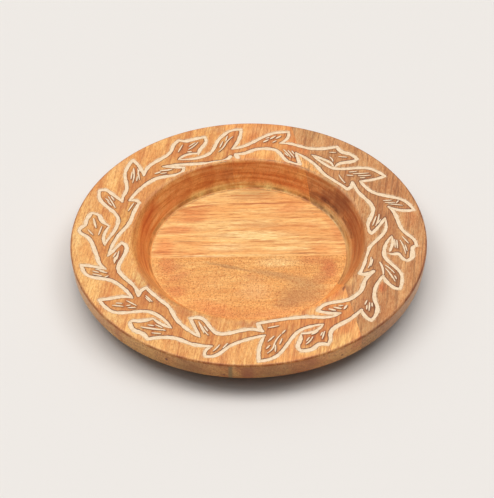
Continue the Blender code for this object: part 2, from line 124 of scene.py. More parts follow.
# The garland's strokes.  For each kind: its width where the knife enters, half way and where it leaves,
# then its course in each of the six freehand repeats, clockwise, as points (heading, radius)
STROKES = {
    "leaf_a_front": ((2.5, 3.6, 3.2), [
        [(157, 119.5), (154.5, 121.5), (150.5, 123), (141, 139.5), (135, 145)],
        [(96.5, 116.5), (93, 118), (78.5, 140.5), (74.5, 143.5)],
        [(34.5, 121), (27.5, 121), (15.5, 144.5), (11.5, 147)],
        [(335, 123.5), (321.5, 132), (320, 136.5), (313.5, 143.5)],
        [(275.5, 119.5), (263.5, 129.5), (257.5, 144.5), (255.5, 145.5)],
        [(217, 121.5), (205, 125.5), (197.5, 144), (193, 145)],
    ]),
    "leaf_a_back": ((3.2, 3.4, 1.7), [
        [(135, 145), (135.5, 137.5), (138.5, 123)],
        [(74.5, 143.5), (74, 135.5), (76, 126.5)],
        [(11.5, 147), (12, 138), (15.5, 127)],
        [(313.5, 143.5), (313.5, 136.5), (315, 129.5)],
        [(255.5, 145.5), (255, 142.5), (256.5, 133.5)],
        [(193, 145), (194.5, 137), (197.5, 126.5)],
    ]),
    "lobed_stem": ((2.5, 3.8, 3.2), [
        [(138.5, 123), (135, 127), (121, 133), (118, 140), (115.5, 143)],
        [(76, 126.5), (73.5, 127.5), (62.5, 128.5), (55, 142)],
        [(15.5, 127), (13.5, 128.5), (1.5, 132.5), (-4.5, 142.5), (-6.5, 143.5)],
        [(315, 129.5), (310, 130.5), (299, 134), (297, 141.5), (295.5, 144.5)],
        [(256.5, 133.5), (250.5, 135.5), (242.5, 135), (235.5, 146.5)],
        [(197.5, 126.5), (194.5, 129.5), (188.5, 131), (179, 138.5), (177, 144.5), (176, 146)],
    ]),
    "lobed_crown": ((3.2, 4.2, 3.4), [
        [(115.5, 143), (114.5, 141), (113, 139), (111.5, 139), (106, 138.5)],
        [(55, 142), (52, 138.5), (48.5, 140.5), (45, 139.5)],
        [(353.5, 143.5), (352.5, 140.5), (351, 140.5), (347, 140.5), (345.5, 137.5)],
        [(295.5, 144.5), (293, 141), (290.5, 143.5), (286.5, 142.5)],
        [(235.5, 146.5), (233, 144), (229, 145), (226, 141)],
        [(176, 146), (174.5, 145), (173, 142), (171, 142), (166.5, 140)],
    ]),
    "lobed_side": ((2.8, 3.8, 1.5), [
        [(106, 138.5), (106, 134), (111, 120.5), (112, 117)],
        [(45, 139.5), (45, 137), (48.5, 122.5), (48.5, 118.5)],
        [(345.5, 137.5), (346, 134.5), (348.5, 128), (348, 125), (348, 121.5)],
        [(286.5, 142.5), (286, 139.5), (288.5, 128.5), (289, 125.5)],
        [(226, 141), (226, 138.5), (227.5, 135.5), (231, 125)],
        [(166.5, 140), (167, 133.5), (170.5, 127.5), (172.5, 121)],
    ]),
    "lobed_base": ((1.3, 2.8, 2.1), [
        [(121, 119.5), (116.5, 121.5), (112, 119)],
        [(61, 120.5), (55, 120.5), (52, 120.5), (49.5, 118)],
        [(358.5, 122.5), (356.5, 123), (349.5, 121.5)],
        [(299, 122.5), (297, 125), (289.5, 124.5)],
        [(239.5, 126), (235, 126.5), (231, 125.5)],
        [(184, 123), (181.5, 124), (173, 121)],
    ]),
    "leaf_b_front": ((1.5, 3.4, 3.2), [
        [(121, 119.5), (107.5, 114.5), (100, 134.5), (95.5, 142.5), (92, 143)],
        [(61, 120.5), (53, 115.5), (50.5, 115), (37, 139.5), (31.5, 143)],
        [(358.5, 122.5), (347, 117.5), (337.5, 138), (331.5, 142)],
        [(299, 122.5), (291.5, 120), (276, 146), (272.5, 147.5)],
        [(239.5, 126), (228.5, 121), (217.5, 144), (211, 145)],
        [(184, 123), (182, 121.5), (174.5, 115), (169, 114.5), (157, 142), (154.5, 144.5)],
    ]),
    "leaf_b_back": ((3.2, 3.6, 1.7), [
        [(92, 143), (92.5, 134), (96.5, 116.5)],
        [(31.5, 143), (32, 134.5), (34.5, 121)],
        [(331.5, 142), (331, 138.5), (331.5, 133.5), (335, 123.5)],
        [(272.5, 147.5), (274, 126), (275.5, 119.5)],
        [(211, 145), (212.5, 136.5), (214.5, 126), (217, 121.5)],
        [(154.5, 144.5), (153.5, 141), (154.5, 131.5), (157, 119.5)],
    ]),
    "inner_step": ((2.8, 4.0, 3.2), [
        [(155, 114), (154, 110.5), (154.5, 105)],
        [(95.5, 109), (94.5, 103.5)],
        [(36, 114.5), (33.5, 108), (33.5, 105)],
        [(336, 114), (332.5, 108), (332, 104.5)],
        [(275, 114.5), (274, 110.5), (273.5, 105.5)],
        [(217.5, 116), (216, 112), (215.5, 105.5)],
    ]),
    "inner_front": ((3.2, 3.8, 3.2), [
        [(155, 114), (137.5, 112), (123, 104.5), (122, 107.5)],
        [(95.5, 109), (92, 109), (85, 115.5), (78, 116.5), (68, 103), (63, 104)],
        [(36, 114.5), (30.5, 111.5), (17, 113.5), (2, 103.5), (0, 105.5)],
        [(336, 114), (330, 112), (322.5, 115.5), (317, 114.5), (305, 105), (301, 107)],
        [(275, 114.5), (272, 112), (257, 118.5), (246.5, 106), (243.5, 109.5)],
        [(217.5, 116), (214.5, 113.5), (199.5, 116.5), (184.5, 106), (183, 108.5)],
    ]),
    "inner_back": ((3.0, 3.2, 1.7), [
        [(122, 107.5), (129, 119.5)],
        [(63, 104), (66, 111.5), (68, 117.5)],
        [(0, 105.5), (2, 108.5), (9.5, 120)],
        [(301, 107), (306, 117.5), (308, 120.5)],
        [(243.5, 109.5), (251, 126)],
        [(183, 108.5), (190.5, 121.5)],
    ]),
    "inner_stem": ((1.7, 3.5, 3.2), [
        [(129, 119.5), (127, 117.5), (107.5, 102.5), (100, 103), (98, 106.5)],
        [(68, 117.5), (57, 110.5), (48.5, 104), (37, 104.5), (33.5, 105)],
        [(9.5, 120), (3.5, 118.5), (-12, 103), (-22, 104), (-28, 104.5)],
        [(308, 120.5), (305.5, 120), (294, 108), (273.5, 105.5)],
        [(251, 126), (240, 117), (230, 106.5), (226.5, 106), (215.5, 105.5)],
        [(190.5, 121.5), (180, 113), (168, 104), (162, 104.5), (154.5, 105)],
    ]),
}
REPEATS = 6

# Fine scratches in the leaves and on the vine of each repeat, as points (heading, radius)
SCRATCHES = [
    [
        [(141.7, 122), (139.8, 126.5), (137.2, 133)], [(144.8, 124.5), (141, 129.5), (138, 136.5)],
        [(143, 123), (140.5, 126.5)], [(143.5, 128.5), (140, 134)], [(139.7, 128), (137.3, 131)],
        [(140.5, 131.5), (138.6, 135.5)], [(118.8, 128.5), (115.5, 135.5)],
        [(114.5, 127), (111.5, 130), (109.3, 133.5)], [(113.5, 131), (110.5, 133.8)],
        [(102.7, 115), (100, 120.5), (98.3, 126.5), (95.5, 133.5)], [(101.7, 120.5), (99.8, 128)],
        [(98.5, 128.5), (97.5, 135)], [(132.8, 113.5), (130.5, 110.8)],
    ],
    [
        [(82.3, 130.5), (81, 132.5)], [(79.2, 126), (78, 129)], [(73.7, 118), (71.3, 114), (69, 109.5)],
        [(71.7, 118), (69.5, 114), (67.6, 110.5)], [(70, 118.5), (68.3, 115)],
        [(72.7, 114), (70.5, 110.5)], [(55.5, 131.5), (53.5, 134.3)], [(51.2, 131.3), (48.5, 135)],
        [(54, 126), (52.3, 124.7), (51.2, 122.7)], [(41, 117), (39, 120.5)],
        [(39.7, 122.5), (38, 127.5), (36.3, 133.5)], [(37.6, 124), (36, 128.5), (34.8, 133)],
        [(41.7, 121.5), (40, 126.5)], [(36, 123.5), (35, 127)],
        [(43.5, 112), (40.5, 109.7), (37.5, 108.7)],
    ],
    [
        [(19.5, 125.5), (18.6, 132.5)], [(18.2, 126), (17, 134)],
        [(17, 128), (15.7, 134.5), (14.7, 139)], [(17.6, 138), (16.5, 134.8)],
        [(-2, 131.5), (-5.5, 136.7)], [(-4, 129.5), (-7.5, 132.7), (-11, 135)],
        [(-6.5, 133.8), (-9.5, 136)], [(-4, 126.7), (-8.5, 127.6)], [(-3.7, 124.9), (-8.3, 125.7)],
        [(12, 116), (8.5, 113.3), (5, 110)], [(11, 112.8), (8, 109.7), (5.5, 107.5)],
        [(8.8, 115.8), (6.3, 112)], [(-19, 121), (-20.8, 127.5), (-22, 131)],
        [(-21.5, 124.5), (-24, 130.5), (-26, 135)], [(-20.8, 122.5), (-23.3, 128.5), (-24.8, 131.5)],
        [(-23.3, 132.3), (-24.7, 135)], [(-16, 107.3), (-19, 108.3), (-23, 108.5)],
        [(-17, 109.2), (-21.5, 109.9)],
    ],
    [
        [(-40.3, 129.3), (-42, 132), (-43.7, 134.8)], [(-39.9, 131), (-41.3, 133.7)],
        [(-40, 126), (-42.2, 127.7)], [(-42, 129.5), (-43.7, 132.3)], [(-62.5, 130.3), (-65, 136.8)],
        [(-63.4, 130.3), (-64.7, 133)], [(-67.5, 131.5), (-69, 134.5), (-71, 137)],
        [(-68.7, 131), (-70.3, 134)], [(-48.5, 115.3), (-50, 113.5)], [(-76, 117), (-77.6, 120)],
        [(-78.2, 120.8), (-80, 124.7), (-81.3, 129), (-82.4, 134.6), (-84.5, 139.3)],
        [(-81.2, 131.5), (-81.8, 138.5)], [(-78.3, 125.5), (-79.7, 131)],
        [(-81, 121.5), (-83.6, 126.5)], [(-83.2, 131), (-84.6, 134.5)], [(-78, 110.7), (-82.5, 111.3)],
    ],
    [
        [(-101, 131), (-101.7, 135), (-102.5, 138.7)], [(-98.3, 128.5), (-99.5, 134)],
        [(-122.3, 136), (-125, 139)], [(-121.8, 131), (-123.2, 131.5)],
        [(-123.5, 129.7), (-126.3, 130)], [(-126.5, 131.8), (-128.5, 133.8)],
        [(-106.2, 122.3), (-108.3, 118.5), (-110.8, 113.3), (-112.3, 110.5)],
        [(-108, 121), (-110, 116), (-111.7, 112.3)], [(-107, 118), (-109.2, 113.7)],
        [(-138, 126.5), (-139.8, 131)], [(-141.5, 133.3), (-144.2, 139.3)],
        [(-143, 132), (-144.4, 135.5)], [(-138.7, 124.5), (-143, 127)], [(-140.3, 128), (-141, 130.7)],
        [(-136, 112), (-140.5, 111.3)], [(-136.5, 113.3), (-139.7, 112.8)],
    ],
    [
        [(-158.5, 126.9), (-158.3, 130)], [(-164.7, 117.8), (-169, 113.8)],
        [(-167.5, 114.3), (-171.5, 111.5)], [(-160.3, 126.8), (-162, 131.7)],
        [(-161.5, 128.5), (-163.6, 134.7)], [(-159.5, 132), (-161.5, 138.3)],
        [(-161.5, 133.3), (-162.9, 137.5)], [(-182, 133.7), (-184.5, 138.3)],
        [(-182, 128.7), (-186.7, 127.2)], [(-166.5, 115), (-169.3, 112.7)],
        [(-168.3, 117.3), (-170.8, 114)], [(-198.5, 122), (-201, 127), (-203.7, 133.7)],
        [(-199.3, 126), (-201, 131.5)], [(-201.2, 130), (-202.3, 134.7)],
        [(-202.5, 126.8), (-204.2, 131.5)], [(-198.3, 109.7), (-204, 109.2)],
    ],
]

# Broader dabs in the same form, where the paste has spread
DABS = [
    [
        [(115.4, 124.5), (114, 123.3)], [(134.5, 117), (132, 115.3)],
        [(131.5, 116.8), (129, 113), (127, 111.5)],
    ],
    [[(83, 125.5), (81.3, 129)], [(80.5, 130.5), (78.8, 135.3)], [(78.3, 132), (76.8, 136)]],
    [[(-18, 115.8), (-20.5, 119.3), (-24.3, 123)]],
    [
        [(-64.7, 127.7), (-67.3, 128.7)], [(-47.3, 117.5), (-49.5, 119)], [(-50.3, 117), (-52, 112)],
        [(-52.7, 115.5), (-54.3, 111)],
    ],
    [[(-123, 132), (-126.3, 135.3), (-129.7, 139)]],
    [[(-165.5, 117.5), (-168, 115.8)], [(-186, 132), (-188.5, 134.3), (-190.7, 136.3)]],
]

# The kinds of stroke that make up each paste strip
FILL_PIECES = {
    "leaf_a": ("leaf_a_front", "leaf_a_back"),
    "lobed_leaf": ("lobed_stem", "lobed_crown", "lobed_side"),
    "lobed_base": ("lobed_base",),
    "leaf_b": ("leaf_b_front", "leaf_b_back"),
    "inner_leaf": ("inner_step", "inner_front", "inner_back"),
    "inner_stem": ("inner_stem",),
}

# Outlines of the vine: the kinds of stroke in order, a minus for a stroke that runs backwards
OUTER_ORDER = (
    "leaf_a_front", "leaf_a_back", "lobed_stem", "lobed_crown", "lobed_side", "-lobed_base",
    "leaf_b_front", "leaf_b_back",
)
INNER_ORDER = ("-inner_step", "inner_front", "inner_back", "inner_stem")


# ---------------------------------------------------------------- lines of the carving


def plan(points):
    """(heading, radius) points as x, y."""
    angle, radius = np.radians([p[0] for p in points]), np.array([p[1] for p in points], float)
    return np.stack([radius * np.cos(angle), radius * np.sin(angle)], axis=1)


def smooth_curve(points):
    """Points about STROKE_STEP apart on a smooth curve through the given ones."""
    spans = np.linalg.norm(np.diff(points, axis=0), axis=1)
    slopes = np.diff(points, axis=0) / spans[:, None]
    tangents = np.repeat(slopes[:1], len(points), axis=0)
    for i in range(1, len(points) - 1):
        tangents[i] = (slopes[i - 1] * spans[i] + slopes[i] * spans[i - 1]) / (spans[i - 1] + spans[i])
    if len(points) > 2:
        tangents[0] = 2 * slopes[0] - tangents[1]
        tangents[-1] = 2 * slopes[-1] - tangents[-2]
    curve = []
    for i, span in enumerate(spans):
        steps = max(1, round(span / STROKE_STEP))
        u = (np.arange(steps) / steps)[:, None]
        curve.append(
            (2 * u**3 - 3 * u**2 + 1) * points[i]
            + (u**3 - 2 * u**2 + u) * span * tangents[i]
            + (3 * u**2 - 2 * u**3) * points[i + 1]
            + (u**3 - u**2) * span * tangents[i + 1]
        )
    return np.concatenate(curve + [points[-1:]])


def wander(travelled, size, seed, row):
    """Smooth noise along a line, with bumps of a given size."""
    return np.array([noise.noise(Vector((distance / size, seed, row))) for distance in travelled])


def stroke_half_widths(widths, curve, seed):
    """Half the stroke's width at each point: narrower towards its ends, and never quite even."""
    start, middle, end = (width / 2 for width in widths)
    travelled = np.concatenate([[0], np.cumsum(np.linalg.norm(np.diff(curve, axis=0), axis=1))])
    along = travelled / travelled[-1]
    entering = np.maximum(0, 1 - 3 * along) ** 2
    leaving = np.maximum(0, 3 * along - 2) ** 2
    half = middle + (start - middle) * entering + (end - middle) * leaving
    slow_size, slow_share = HAND_WOBBLE
    quick_size, quick_share = EDGE_ROUGHNESS
    slow = wander(travelled, slow_size, seed * 7.3, 0.5)
    quick = wander(travelled, quick_size, seed * 3.1, 2.5)
    return half * (1 + slow_share * slow + quick_share * quick)


def carved_lines():
    """Every stroke of the garland: {(repeat, kind): (curve, half widths)}."""
    lines = {}
    for order, (kind, (widths, courses)) in enumerate(STROKES.items()):
        for repeat, points in enumerate(courses):
            curve = smooth_curve(plan(points))
            seed = len(STROKES) * repeat + order
            lines[repeat, kind] = curve, stroke_half_widths(widths, curve, seed)
    return lines


def scratch_lines():
    """The fine scratches and the dabs: a list for each repeat of (curve, half widths)."""
    lines = []
    for scratches, dabs in zip(SCRATCHES, DABS):
        row = []
        for widest, courses in ((SCRATCH_HALF_WIDTH, scratches), (DAB_HALF_WIDTH, dabs)):
            for points in courses:
                curve = smooth_curve(plan(points))
                swell = np.sin(np.linspace(0.25, math.pi - 0.15, len(curve)))
                row.append((curve, widest * (0.4 + 0.6 * swell)))
        lines.append(row)
    return lines


def distance_to_edge(places, lines):
    """How far each place (x, y) is from the nearest line's edge: negative inside the line."""
    nearest = np.full(len(places), FAR)
    for curve, half in lines:
        low, high = curve.min(axis=0) - 5, curve.max(axis=0) + 5
        near = np.flatnonzero(((places > low) & (places < high)).all(axis=1))
        if not len(near):
            continue
        run = np.diff(curve, axis=0)
        offset = places[near][:, None, :] - curve[None, :-1, :]
        along = np.clip((offset * run).sum(axis=2) / (run**2).sum(axis=1), 0, 1)
        gap = np.linalg.norm(offset - along[:, :, None] * run, axis=2)
        edge = gap - (half[:-1] + along * np.diff(half))
        nearest[near] = np.minimum(nearest[near], edge.min(axis=1))
    return nearest


def outline(lines, order):
    """One closed line round the plate, from strokes joined in order."""
    parts = []
    for repeat in range(REPEATS):
        for kind in order:
            curve = lines[repeat, kind.lstrip("-")][0]
            parts.append(curve[::-1] if kind.startswith("-") else curve)
    return np.concatenate(parts)


def inside_outline(angles, radii, loop):
    """For each (angle, radius) of a polar grid, whether it is inside a closed line round the axis."""
    loop_angle = np.degrees(np.arctan2(loop[:, 1], loop[:, 0]))
    loop_radius = np.hypot(loop[:, 0], loop[:, 1])
    crossings = np.zeros((len(angles), len(radii)), int)
    for i in range(len(loop)):
        j = (i + 1) % len(loop)
        turn = (loop_angle[j] - loop_angle[i] + 180) % 360 - 180
        if turn == 0:
            continue
        along = ((angles - loop_angle[i] + 180) % 360 - 180) / turn
        for column in np.flatnonzero((along >= 0) & (along < 1)):
            radius = loop_radius[i] + along[column] * (loop_radius[j] - loop_radius[i])
            crossings[column, radii < radius] += 1
    return crossings % 2 == 1


# ---------------------------------------------------------------- meshes


def arc(centre_r, centre_z, radius, start, end, steps):
    """Points (r, z) on an arc, both ends included; angles in radians from the outward direction."""
    turn = np.linspace(start, end, steps + 1)
    return np.stack([centre_r + radius * np.cos(turn), centre_z + radius * np.sin(turn)], axis=1)


def line(start, end, spacing):
    """Points (r, z) between two places, without the places themselves."""
    start, end = np.array(start, float), np.array(end, float)
    steps = max(1, round(np.linalg.norm(end - start) / spacing))
    return start + (end - start) * (np.arange(1, steps) / steps)[:, None]


def ring_profile():
    """Closed outline (r, z) of the rim layer, and which of its points are on the flat carved top."""
    top = PLATE_HEIGHT
    low = top - RIM_EDGE_HEIGHT
    low_radius = PLATE_RADIUS - RIM_EDGE_TAPER - EDGE_ROUNDING
    reach = COVE_ROUNDING * math.tan(WALL_SLOPE / 2)
    cove = arc(FLOOR_RADIUS - reach, RING_BOTTOM - 0.1 + COVE_ROUNDING, COVE_ROUNDING,
               -QUARTER, WALL_SLOPE - QUARTER, 4)
    lip = arc(WELL_LIP_RADIUS, top - LIP_ROUNDING, LIP_ROUNDING, QUARTER + WALL_SLOPE, QUARTER, 9)
    edge_top = arc(PLATE_RADIUS - EDGE_ROUNDING, top - EDGE_ROUNDING, EDGE_ROUNDING, QUARTER, 0, 6)
    edge_low = arc(low_radius, low + EDGE_ROUNDING, EDGE_ROUNDING, 0, -QUARTER, 5)
    flat = np.concatenate([lip[-1:], line(lip[-1], edge_top[0], RADIAL_STEP), edge_top[:1]])
    under = (COVE_OUTER_RADIUS, low - 1.2)
    foot = (BASE_RADIUS + BASE_FLARE, RING_BOTTOM)
    before = [cove, line(cove[-1], lip[0], 1.6), lip[:-1]]
    after = [
        edge_top[1:], line(edge_top[-1], edge_low[0], 2.5), edge_low,
        line(edge_low[-1], under, 6), [under], line(under, foot, 5), [foot],
    ]
    first = sum(len(part) for part in before)
    profile = np.concatenate(before + [flat] + after)
    on_top = np.zeros(len(profile), bool)
    on_top[first:first + len(flat)] = True
    return profile, on_top


def profile_zones(profile):
    """How much each profile point belongs to the slope of the well, its foot, the outer edge that gets
    painted shade, and so on.
    """
    r, z = profile[:, 0], profile[:, 1]
    inner = (r < WELL_LIP_RADIUS + 0.5).astype(float)
    low = PLATE_HEIGHT - RIM_EDGE_HEIGHT
    edge_gap = np.hypot(r - PLATE_RADIUS + 0.5, z - PLATE_HEIGHT + 0.5)
    side = (r > COVE_OUTER_RADIUS) * (1 - smoothstep(PLATE_HEIGHT - 2.2, PLATE_HEIGHT - 1, z))
    return {
        "wall": inner,
        "foot": inner * (1 - smoothstep(FLOOR_RADIUS + 1.6, FLOOR_RADIUS + 4.6, r)),
        "edge": 1 - smoothstep(0.3, 1.8, edge_gap),
        "side": side,
        "band": side * (1 - 0.7 * smoothstep(low + 1.2, PLATE_HEIGHT - 2, z)),
        "under": (r > BASE_RADIUS) * (1 - smoothstep(low - 0.5, low + 0.5, z)),
    }


def polar_sector(angles, profile, drop=None):
    """Vertices (metres) and faces of a closed outline swept over some angles, ends left open."""
    turn = np.radians(angles)
    vertices = np.empty((len(angles), len(profile), 3))
    vertices[:, :, 0] = np.cos(turn)[:, None] * profile[:, 0]
    vertices[:, :, 1] = np.sin(turn)[:, None] * profile[:, 0]
    vertices[:, :, 2] = profile[:, 1]
    if drop is not None:
        vertices[:, :, 2] -= drop
    number = np.arange(len(angles) * len(profile)).reshape(len(angles), len(profile))
    beyond = np.roll(number, -1, axis=1)
    faces = np.stack([number[:-1], beyond[:-1], beyond[1:], number[1:]], axis=2).reshape(-1, 4)
    return vertices.reshape(-1, 3) * MM, faces


def mesh_from(name, vertices, faces, fields):
    """A mesh with a number at each vertex for each of the fields."""
    mesh = bpy.data.meshes.new(name)
    mesh.from_pydata(vertices.tolist(), [], faces.tolist())
    for label, values in fields.items():
        layer = mesh.attributes.new(label, "FLOAT", "POINT")
        layer.data.foreach_set("value", np.asarray(values, np.float32).ravel())
    return mesh


def keep_side(bm, point, direction):
    """Saws a solid at a vertical plane, keeps the side that direction points to, closes the cut."""
    cut = bmesh.ops.bisect_plane(
        bm,
        geom=bm.verts[:] + bm.edges[:] + bm.faces[:],
        dist=1e-8,
        plane_co=(Vector((*point, 0)) + direction * (GLUE_GAP / 2)) * MM,
        plane_no=direction,
        clear_inner=True,
    )
    edges = [item for item in cut["geom_cut"] if isinstance(item, bmesh.types.BMEdge)]
    bmesh.ops.holes_fill(bm, edges=edges)


def saw(mesh, cuts):
    """Saws a mesh at each of the cuts (point, direction to keep)."""
    bm = bmesh.new()
    bm.from_mesh(mesh)
    for point, direction in cuts:
        keep_side(bm, point, direction)
    bmesh.ops.triangulate(bm, faces=[face for face in bm.faces if len(face.verts) > 4])
    bmesh.ops.recalc_face_normals(bm, faces=bm.faces)
    bm.to_mesh(mesh)
    bm.free()


def piece(name, mesh, material, slot, *nodes):
    """A finished piece that rides on the plate and stands for CAD nodes."""
    mesh.materials.clear()
    mesh.materials.append(material)
    mesh.shade_smooth()
    mesh.set_sharp_from_angle(angle=math.radians(50))
    obj = bpy.data.objects.new(name, mesh)
    bpy.context.scene.collection.objects.link(obj)
    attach(obj, "root")
    if nodes:
        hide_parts(*nodes)


def smoothstep(low, high, value):
    share = np.clip((value - low) / (high - low), 0, 1)
    return share * share * (3 - 2 * share)


def soften(mask, rounds):
    for _ in range(rounds):
        padded = np.pad(mask, 1, mode="edge")
        mask = (padded[:-2, 1:-1] + padded[2:, 1:-1] + padded[1:-1, :-2] + padded[1:-1, 2:]) / 4
    return mask


def carving(angles, radii, lines, scratches):
    """The flat top as a polar grid: how far it is from the cuts, where the vine is, how deep it lies."""
    turn = np.radians(angles)
    shape = len(angles), len(radii)
    places = np.stack([np.outer(np.cos(turn), radii), np.outer(np.sin(turn), radii)], axis=2)
    places = places.reshape(-1, 2)
    groove = distance_to_edge(places, lines.values()).reshape(shape)
    scratch_cuts = [(curve + SCRATCH_SHIFT, half) for row in scratches for curve, half in row]
    scratch = distance_to_edge(places, scratch_cuts).reshape(shape)
    vine = inside_outline(angles, radii, outline(lines, OUTER_ORDER))
    vine &= ~inside_outline(angles, radii, outline(lines, INNER_ORDER))
    depth = GROOVE_DEPTH * (1 - smoothstep(-GROOVE_WALL, 0.15, groove))
    depth = np.maximum(depth, SCRATCH_DEPTH * (1 - smoothstep(-0.1, 0.6, scratch)))
    waves = WAVE_DEPTH * np.sin(places[:, 0] / 9 + 1) * np.sin(places[:, 1] / 11) + WAVE_DEPTH
    depth += waves.reshape(shape) * smoothstep(*WAVES_FROM, radii) * smoothstep(*WAVES_TO, radii)
    return groove, scratch, soften(vine.astype(float), 3), depth


def rim_board(node, slot, material, sector, cuts, lines, scratches):
    """One board of the rim, with the grooves cut into its top."""
    profile, on_top = ring_profile()
    angles = np.arange(*sector, ANGLE_STEP)
    turn = np.radians(angles)[:, None]
    shape = len(angles), len(profile)
    groove, scratch, vine, depth = carving(angles, profile[on_top, 0], lines, scratches)
    drop = np.zeros(shape)
    drop[:, on_top] = depth
    fields = {}
    for label, values, elsewhere in (("groove", groove, FAR), ("scratch", scratch, FAR), ("vine", vine, 0.0)):
        fields[label] = np.full(shape, elsewhere)
        fields[label][:, on_top] = values
    for label, values in profile_zones(profile).items():
        fields[label] = np.tile(values, (len(angles), 1))
    fields["band"] *= 0.12 + 0.88 * np.abs(np.sin(turn)) ** 2
    worn_lip = profile[:, 0] + LIP_WEAR * np.maximum(0, -np.cos(turn)) ** 4
    fields["wall"] *= 1 - smoothstep(WELL_LIP_RADIUS - 4.2, WELL_LIP_RADIUS - 1.6, worn_lip)
    mesh = mesh_from(node, *polar_sector(angles, profile, drop), fields)
    saw(mesh, cuts)
    piece(f"carved_{node}", mesh, material, slot, node)


def floor_board(node, slot, material, direction):
    """One board of the floor: a half disc with a rounded foot."""
    outer = BASE_RADIUS + BASE_FLARE
    foot = arc(BASE_RADIUS + 0.6 - BASE_ROUNDING, BASE_ROUNDING, BASE_ROUNDING, 0, -QUARTER, 5)
    top_rows = [(r, FLOOR_TOP) for r in (3, 20, 45, 65, FLOOR_RADIUS, outer - 0.5)]
    side = [(outer, FLOOR_TOP - 0.5), (outer - 0.4, FLOOR_TOP * 0.6), (outer - 2, FLOOR_TOP * 0.3)]
    profile = np.array(top_rows + side + foot.tolist() + [(85, 0), (3, 0)], float)
    angles = np.arange(0, 360, FLOOR_ANGLE_STEP)
    vertices, faces = polar_sector(np.append(angles, 360), profile)
    rows = len(profile)
    faces = faces.reshape(len(angles), rows, 4)[:, :-1].reshape(-1, 4) % (len(angles) * rows)
    bm = bmesh.new()
    verts = [bm.verts.new(v) for v in vertices[:-rows]]
    for face in faces:
        bm.faces.new([verts[i] for i in face])
    bm.faces.new(verts[::rows])
    bm.faces.new(verts[::-rows])
    bmesh.ops.recalc_face_normals(bm, faces=bm.faces)
    keep_side(bm, (0, FLOOR_GLUE_LINE_Y), direction)
    bmesh.ops.recalc_face_normals(bm, faces=bm.faces)
    mesh = bpy.data.meshes.new(node)
    bm.to_mesh(mesh)
    bm.free()
    piece(f"turned_{node}", mesh, material, slot, node)


# Cross-section of a paste strip's top: (share of the half width, share of the hollow)
PASTE_SECTION = ((-1, -0.5), (-0.86, 0.1), (-0.5, 0.75), (0, 1), (0.5, 0.75), (0.86, 0.1), (1, -0.5))
PASTE_BOTTOM_SHARE = 0.8


def strip_stations(curve, half):
    """(place, direction, half width) along a line with rounded ends."""
    run = np.gradient(curve, axis=0)
    run /= np.linalg.norm(run, axis=1)[:, None]
    start, end = [], []
    for share in (0.95, 0.6):
        narrow = math.sqrt(1 - share**2)
        start.append((curve[0] - run[0] * half[0] * share, run[0], half[0] * narrow))
        end.insert(0, (curve[-1] + run[-1] * half[-1] * share, run[-1], half[-1] * narrow))
    return start + list(zip(curve, run, half)) + end


def strip(curve, half, top, bottom, hollow, seed):
    """A closed strip along a line; its top is lower in the middle by hollow, and a little lumpy."""
    bm = bmesh.new()
    rings = []
    for place, along, width in strip_stations(curve, half):
        across = np.array([-along[1], along[0]])
        corners = []
        for share, dip in PASTE_SECTION:
            x, y = place + across * share * width
            lump = noise.noise(Vector((x / PASTE_LUMP_SIZE, y / PASTE_LUMP_SIZE, seed)))
            z = top - hollow * dip + lump * PASTE_LUMP_HEIGHT
            corners.append(bm.verts.new((x * MM, y * MM, z * MM)))
        for share in (PASTE_BOTTOM_SHARE, -PASTE_BOTTOM_SHARE):
            x, y = place + across * share * width
            corners.append(bm.verts.new((x * MM, y * MM, bottom * MM)))
        rings.append(corners)
    size = len(rings[0])
    for near, far in zip(rings, rings[1:]):
        for i in range(size):
            j = (i + 1) % size
            bm.faces.new((near[i], near[j], far[j], far[i]))
    bm.faces.new(rings[0])
    bm.faces.new(list(reversed(rings[-1])))
    bmesh.ops.recalc_face_normals(bm, faces=bm.faces)
    return bm


def joined(name, solids):
    """The union of some closed solids, as one mesh."""
    objects = []
    for number, bm in enumerate(solids):
        mesh = bpy.data.meshes.new(f"{name}_{number}")
        bm.to_mesh(mesh)
        bm.free()
        obj = bpy.data.objects.new(mesh.name, mesh)
        bpy.context.scene.collection.objects.link(obj)
        objects.append(obj)
    base = objects[0]
    for other in objects[1:]:
        union = base.modifiers.new(other.name, "BOOLEAN")
        union.operation = "UNION"
        union.solver = "EXACT"
        union.object = other
    graph = bpy.context.evaluated_depsgraph_get()
    mesh = bpy.data.meshes.new_from_object(base.evaluated_get(graph))
    mesh.name = name
    for obj in objects:
        bpy.data.objects.remove(obj, do_unlink=True)
    return mesh


def groove_paste(lines, material):
    """The paste in the grooves: one piece for each strip of the CAD."""
    top, bottom = PLATE_HEIGHT - PASTE_EDGE_DROP, PLATE_HEIGHT - PASTE_DEPTH
    for repeat in range(REPEATS):
        for name, kinds in FILL_PIECES.items():
            solids = []
            for order, kind in enumerate(kinds):
                curve, half = lines[repeat, kind]
                seed = repeat + order * 0.37
                solids.append(strip(curve, half - PASTE_GAP, top, bottom, PASTE_HOLLOW, seed))
            node = f"fill_{name}_{repeat + 1}"
            piece(f"paste_{name}_{repeat + 1}", joined(node, solids), material, "limewash", node)


def scratch_paste(scratches, material):
    """The paste left in the fine scratches: one piece for each repeat of the garland."""
    bottom = PLATE_HEIGHT - SCRATCH_PASTE_DEPTH
    for repeat, row in enumerate(scratches):
        whole = bmesh.new()
        for order, (curve, half) in enumerate(row):
            scratch = strip(curve, half, PLATE_HEIGHT, bottom, SCRATCH_PASTE_HOLLOW, order * 1.7)
            scratch_mesh = bpy.data.meshes.new("scratch")
            scratch.to_mesh(scratch_mesh)
            scratch.free()
            whole.from_mesh(scratch_mesh)
            bpy.data.meshes.remove(scratch_mesh)
        mesh = bpy.data.meshes.new(f"veins_{repeat + 1}")
        whole.to_mesh(mesh)
        whole.free()
        piece(f"paste_veins_{repeat + 1}", mesh, material, "limewash")


# ---------------------------------------------------------------- materials


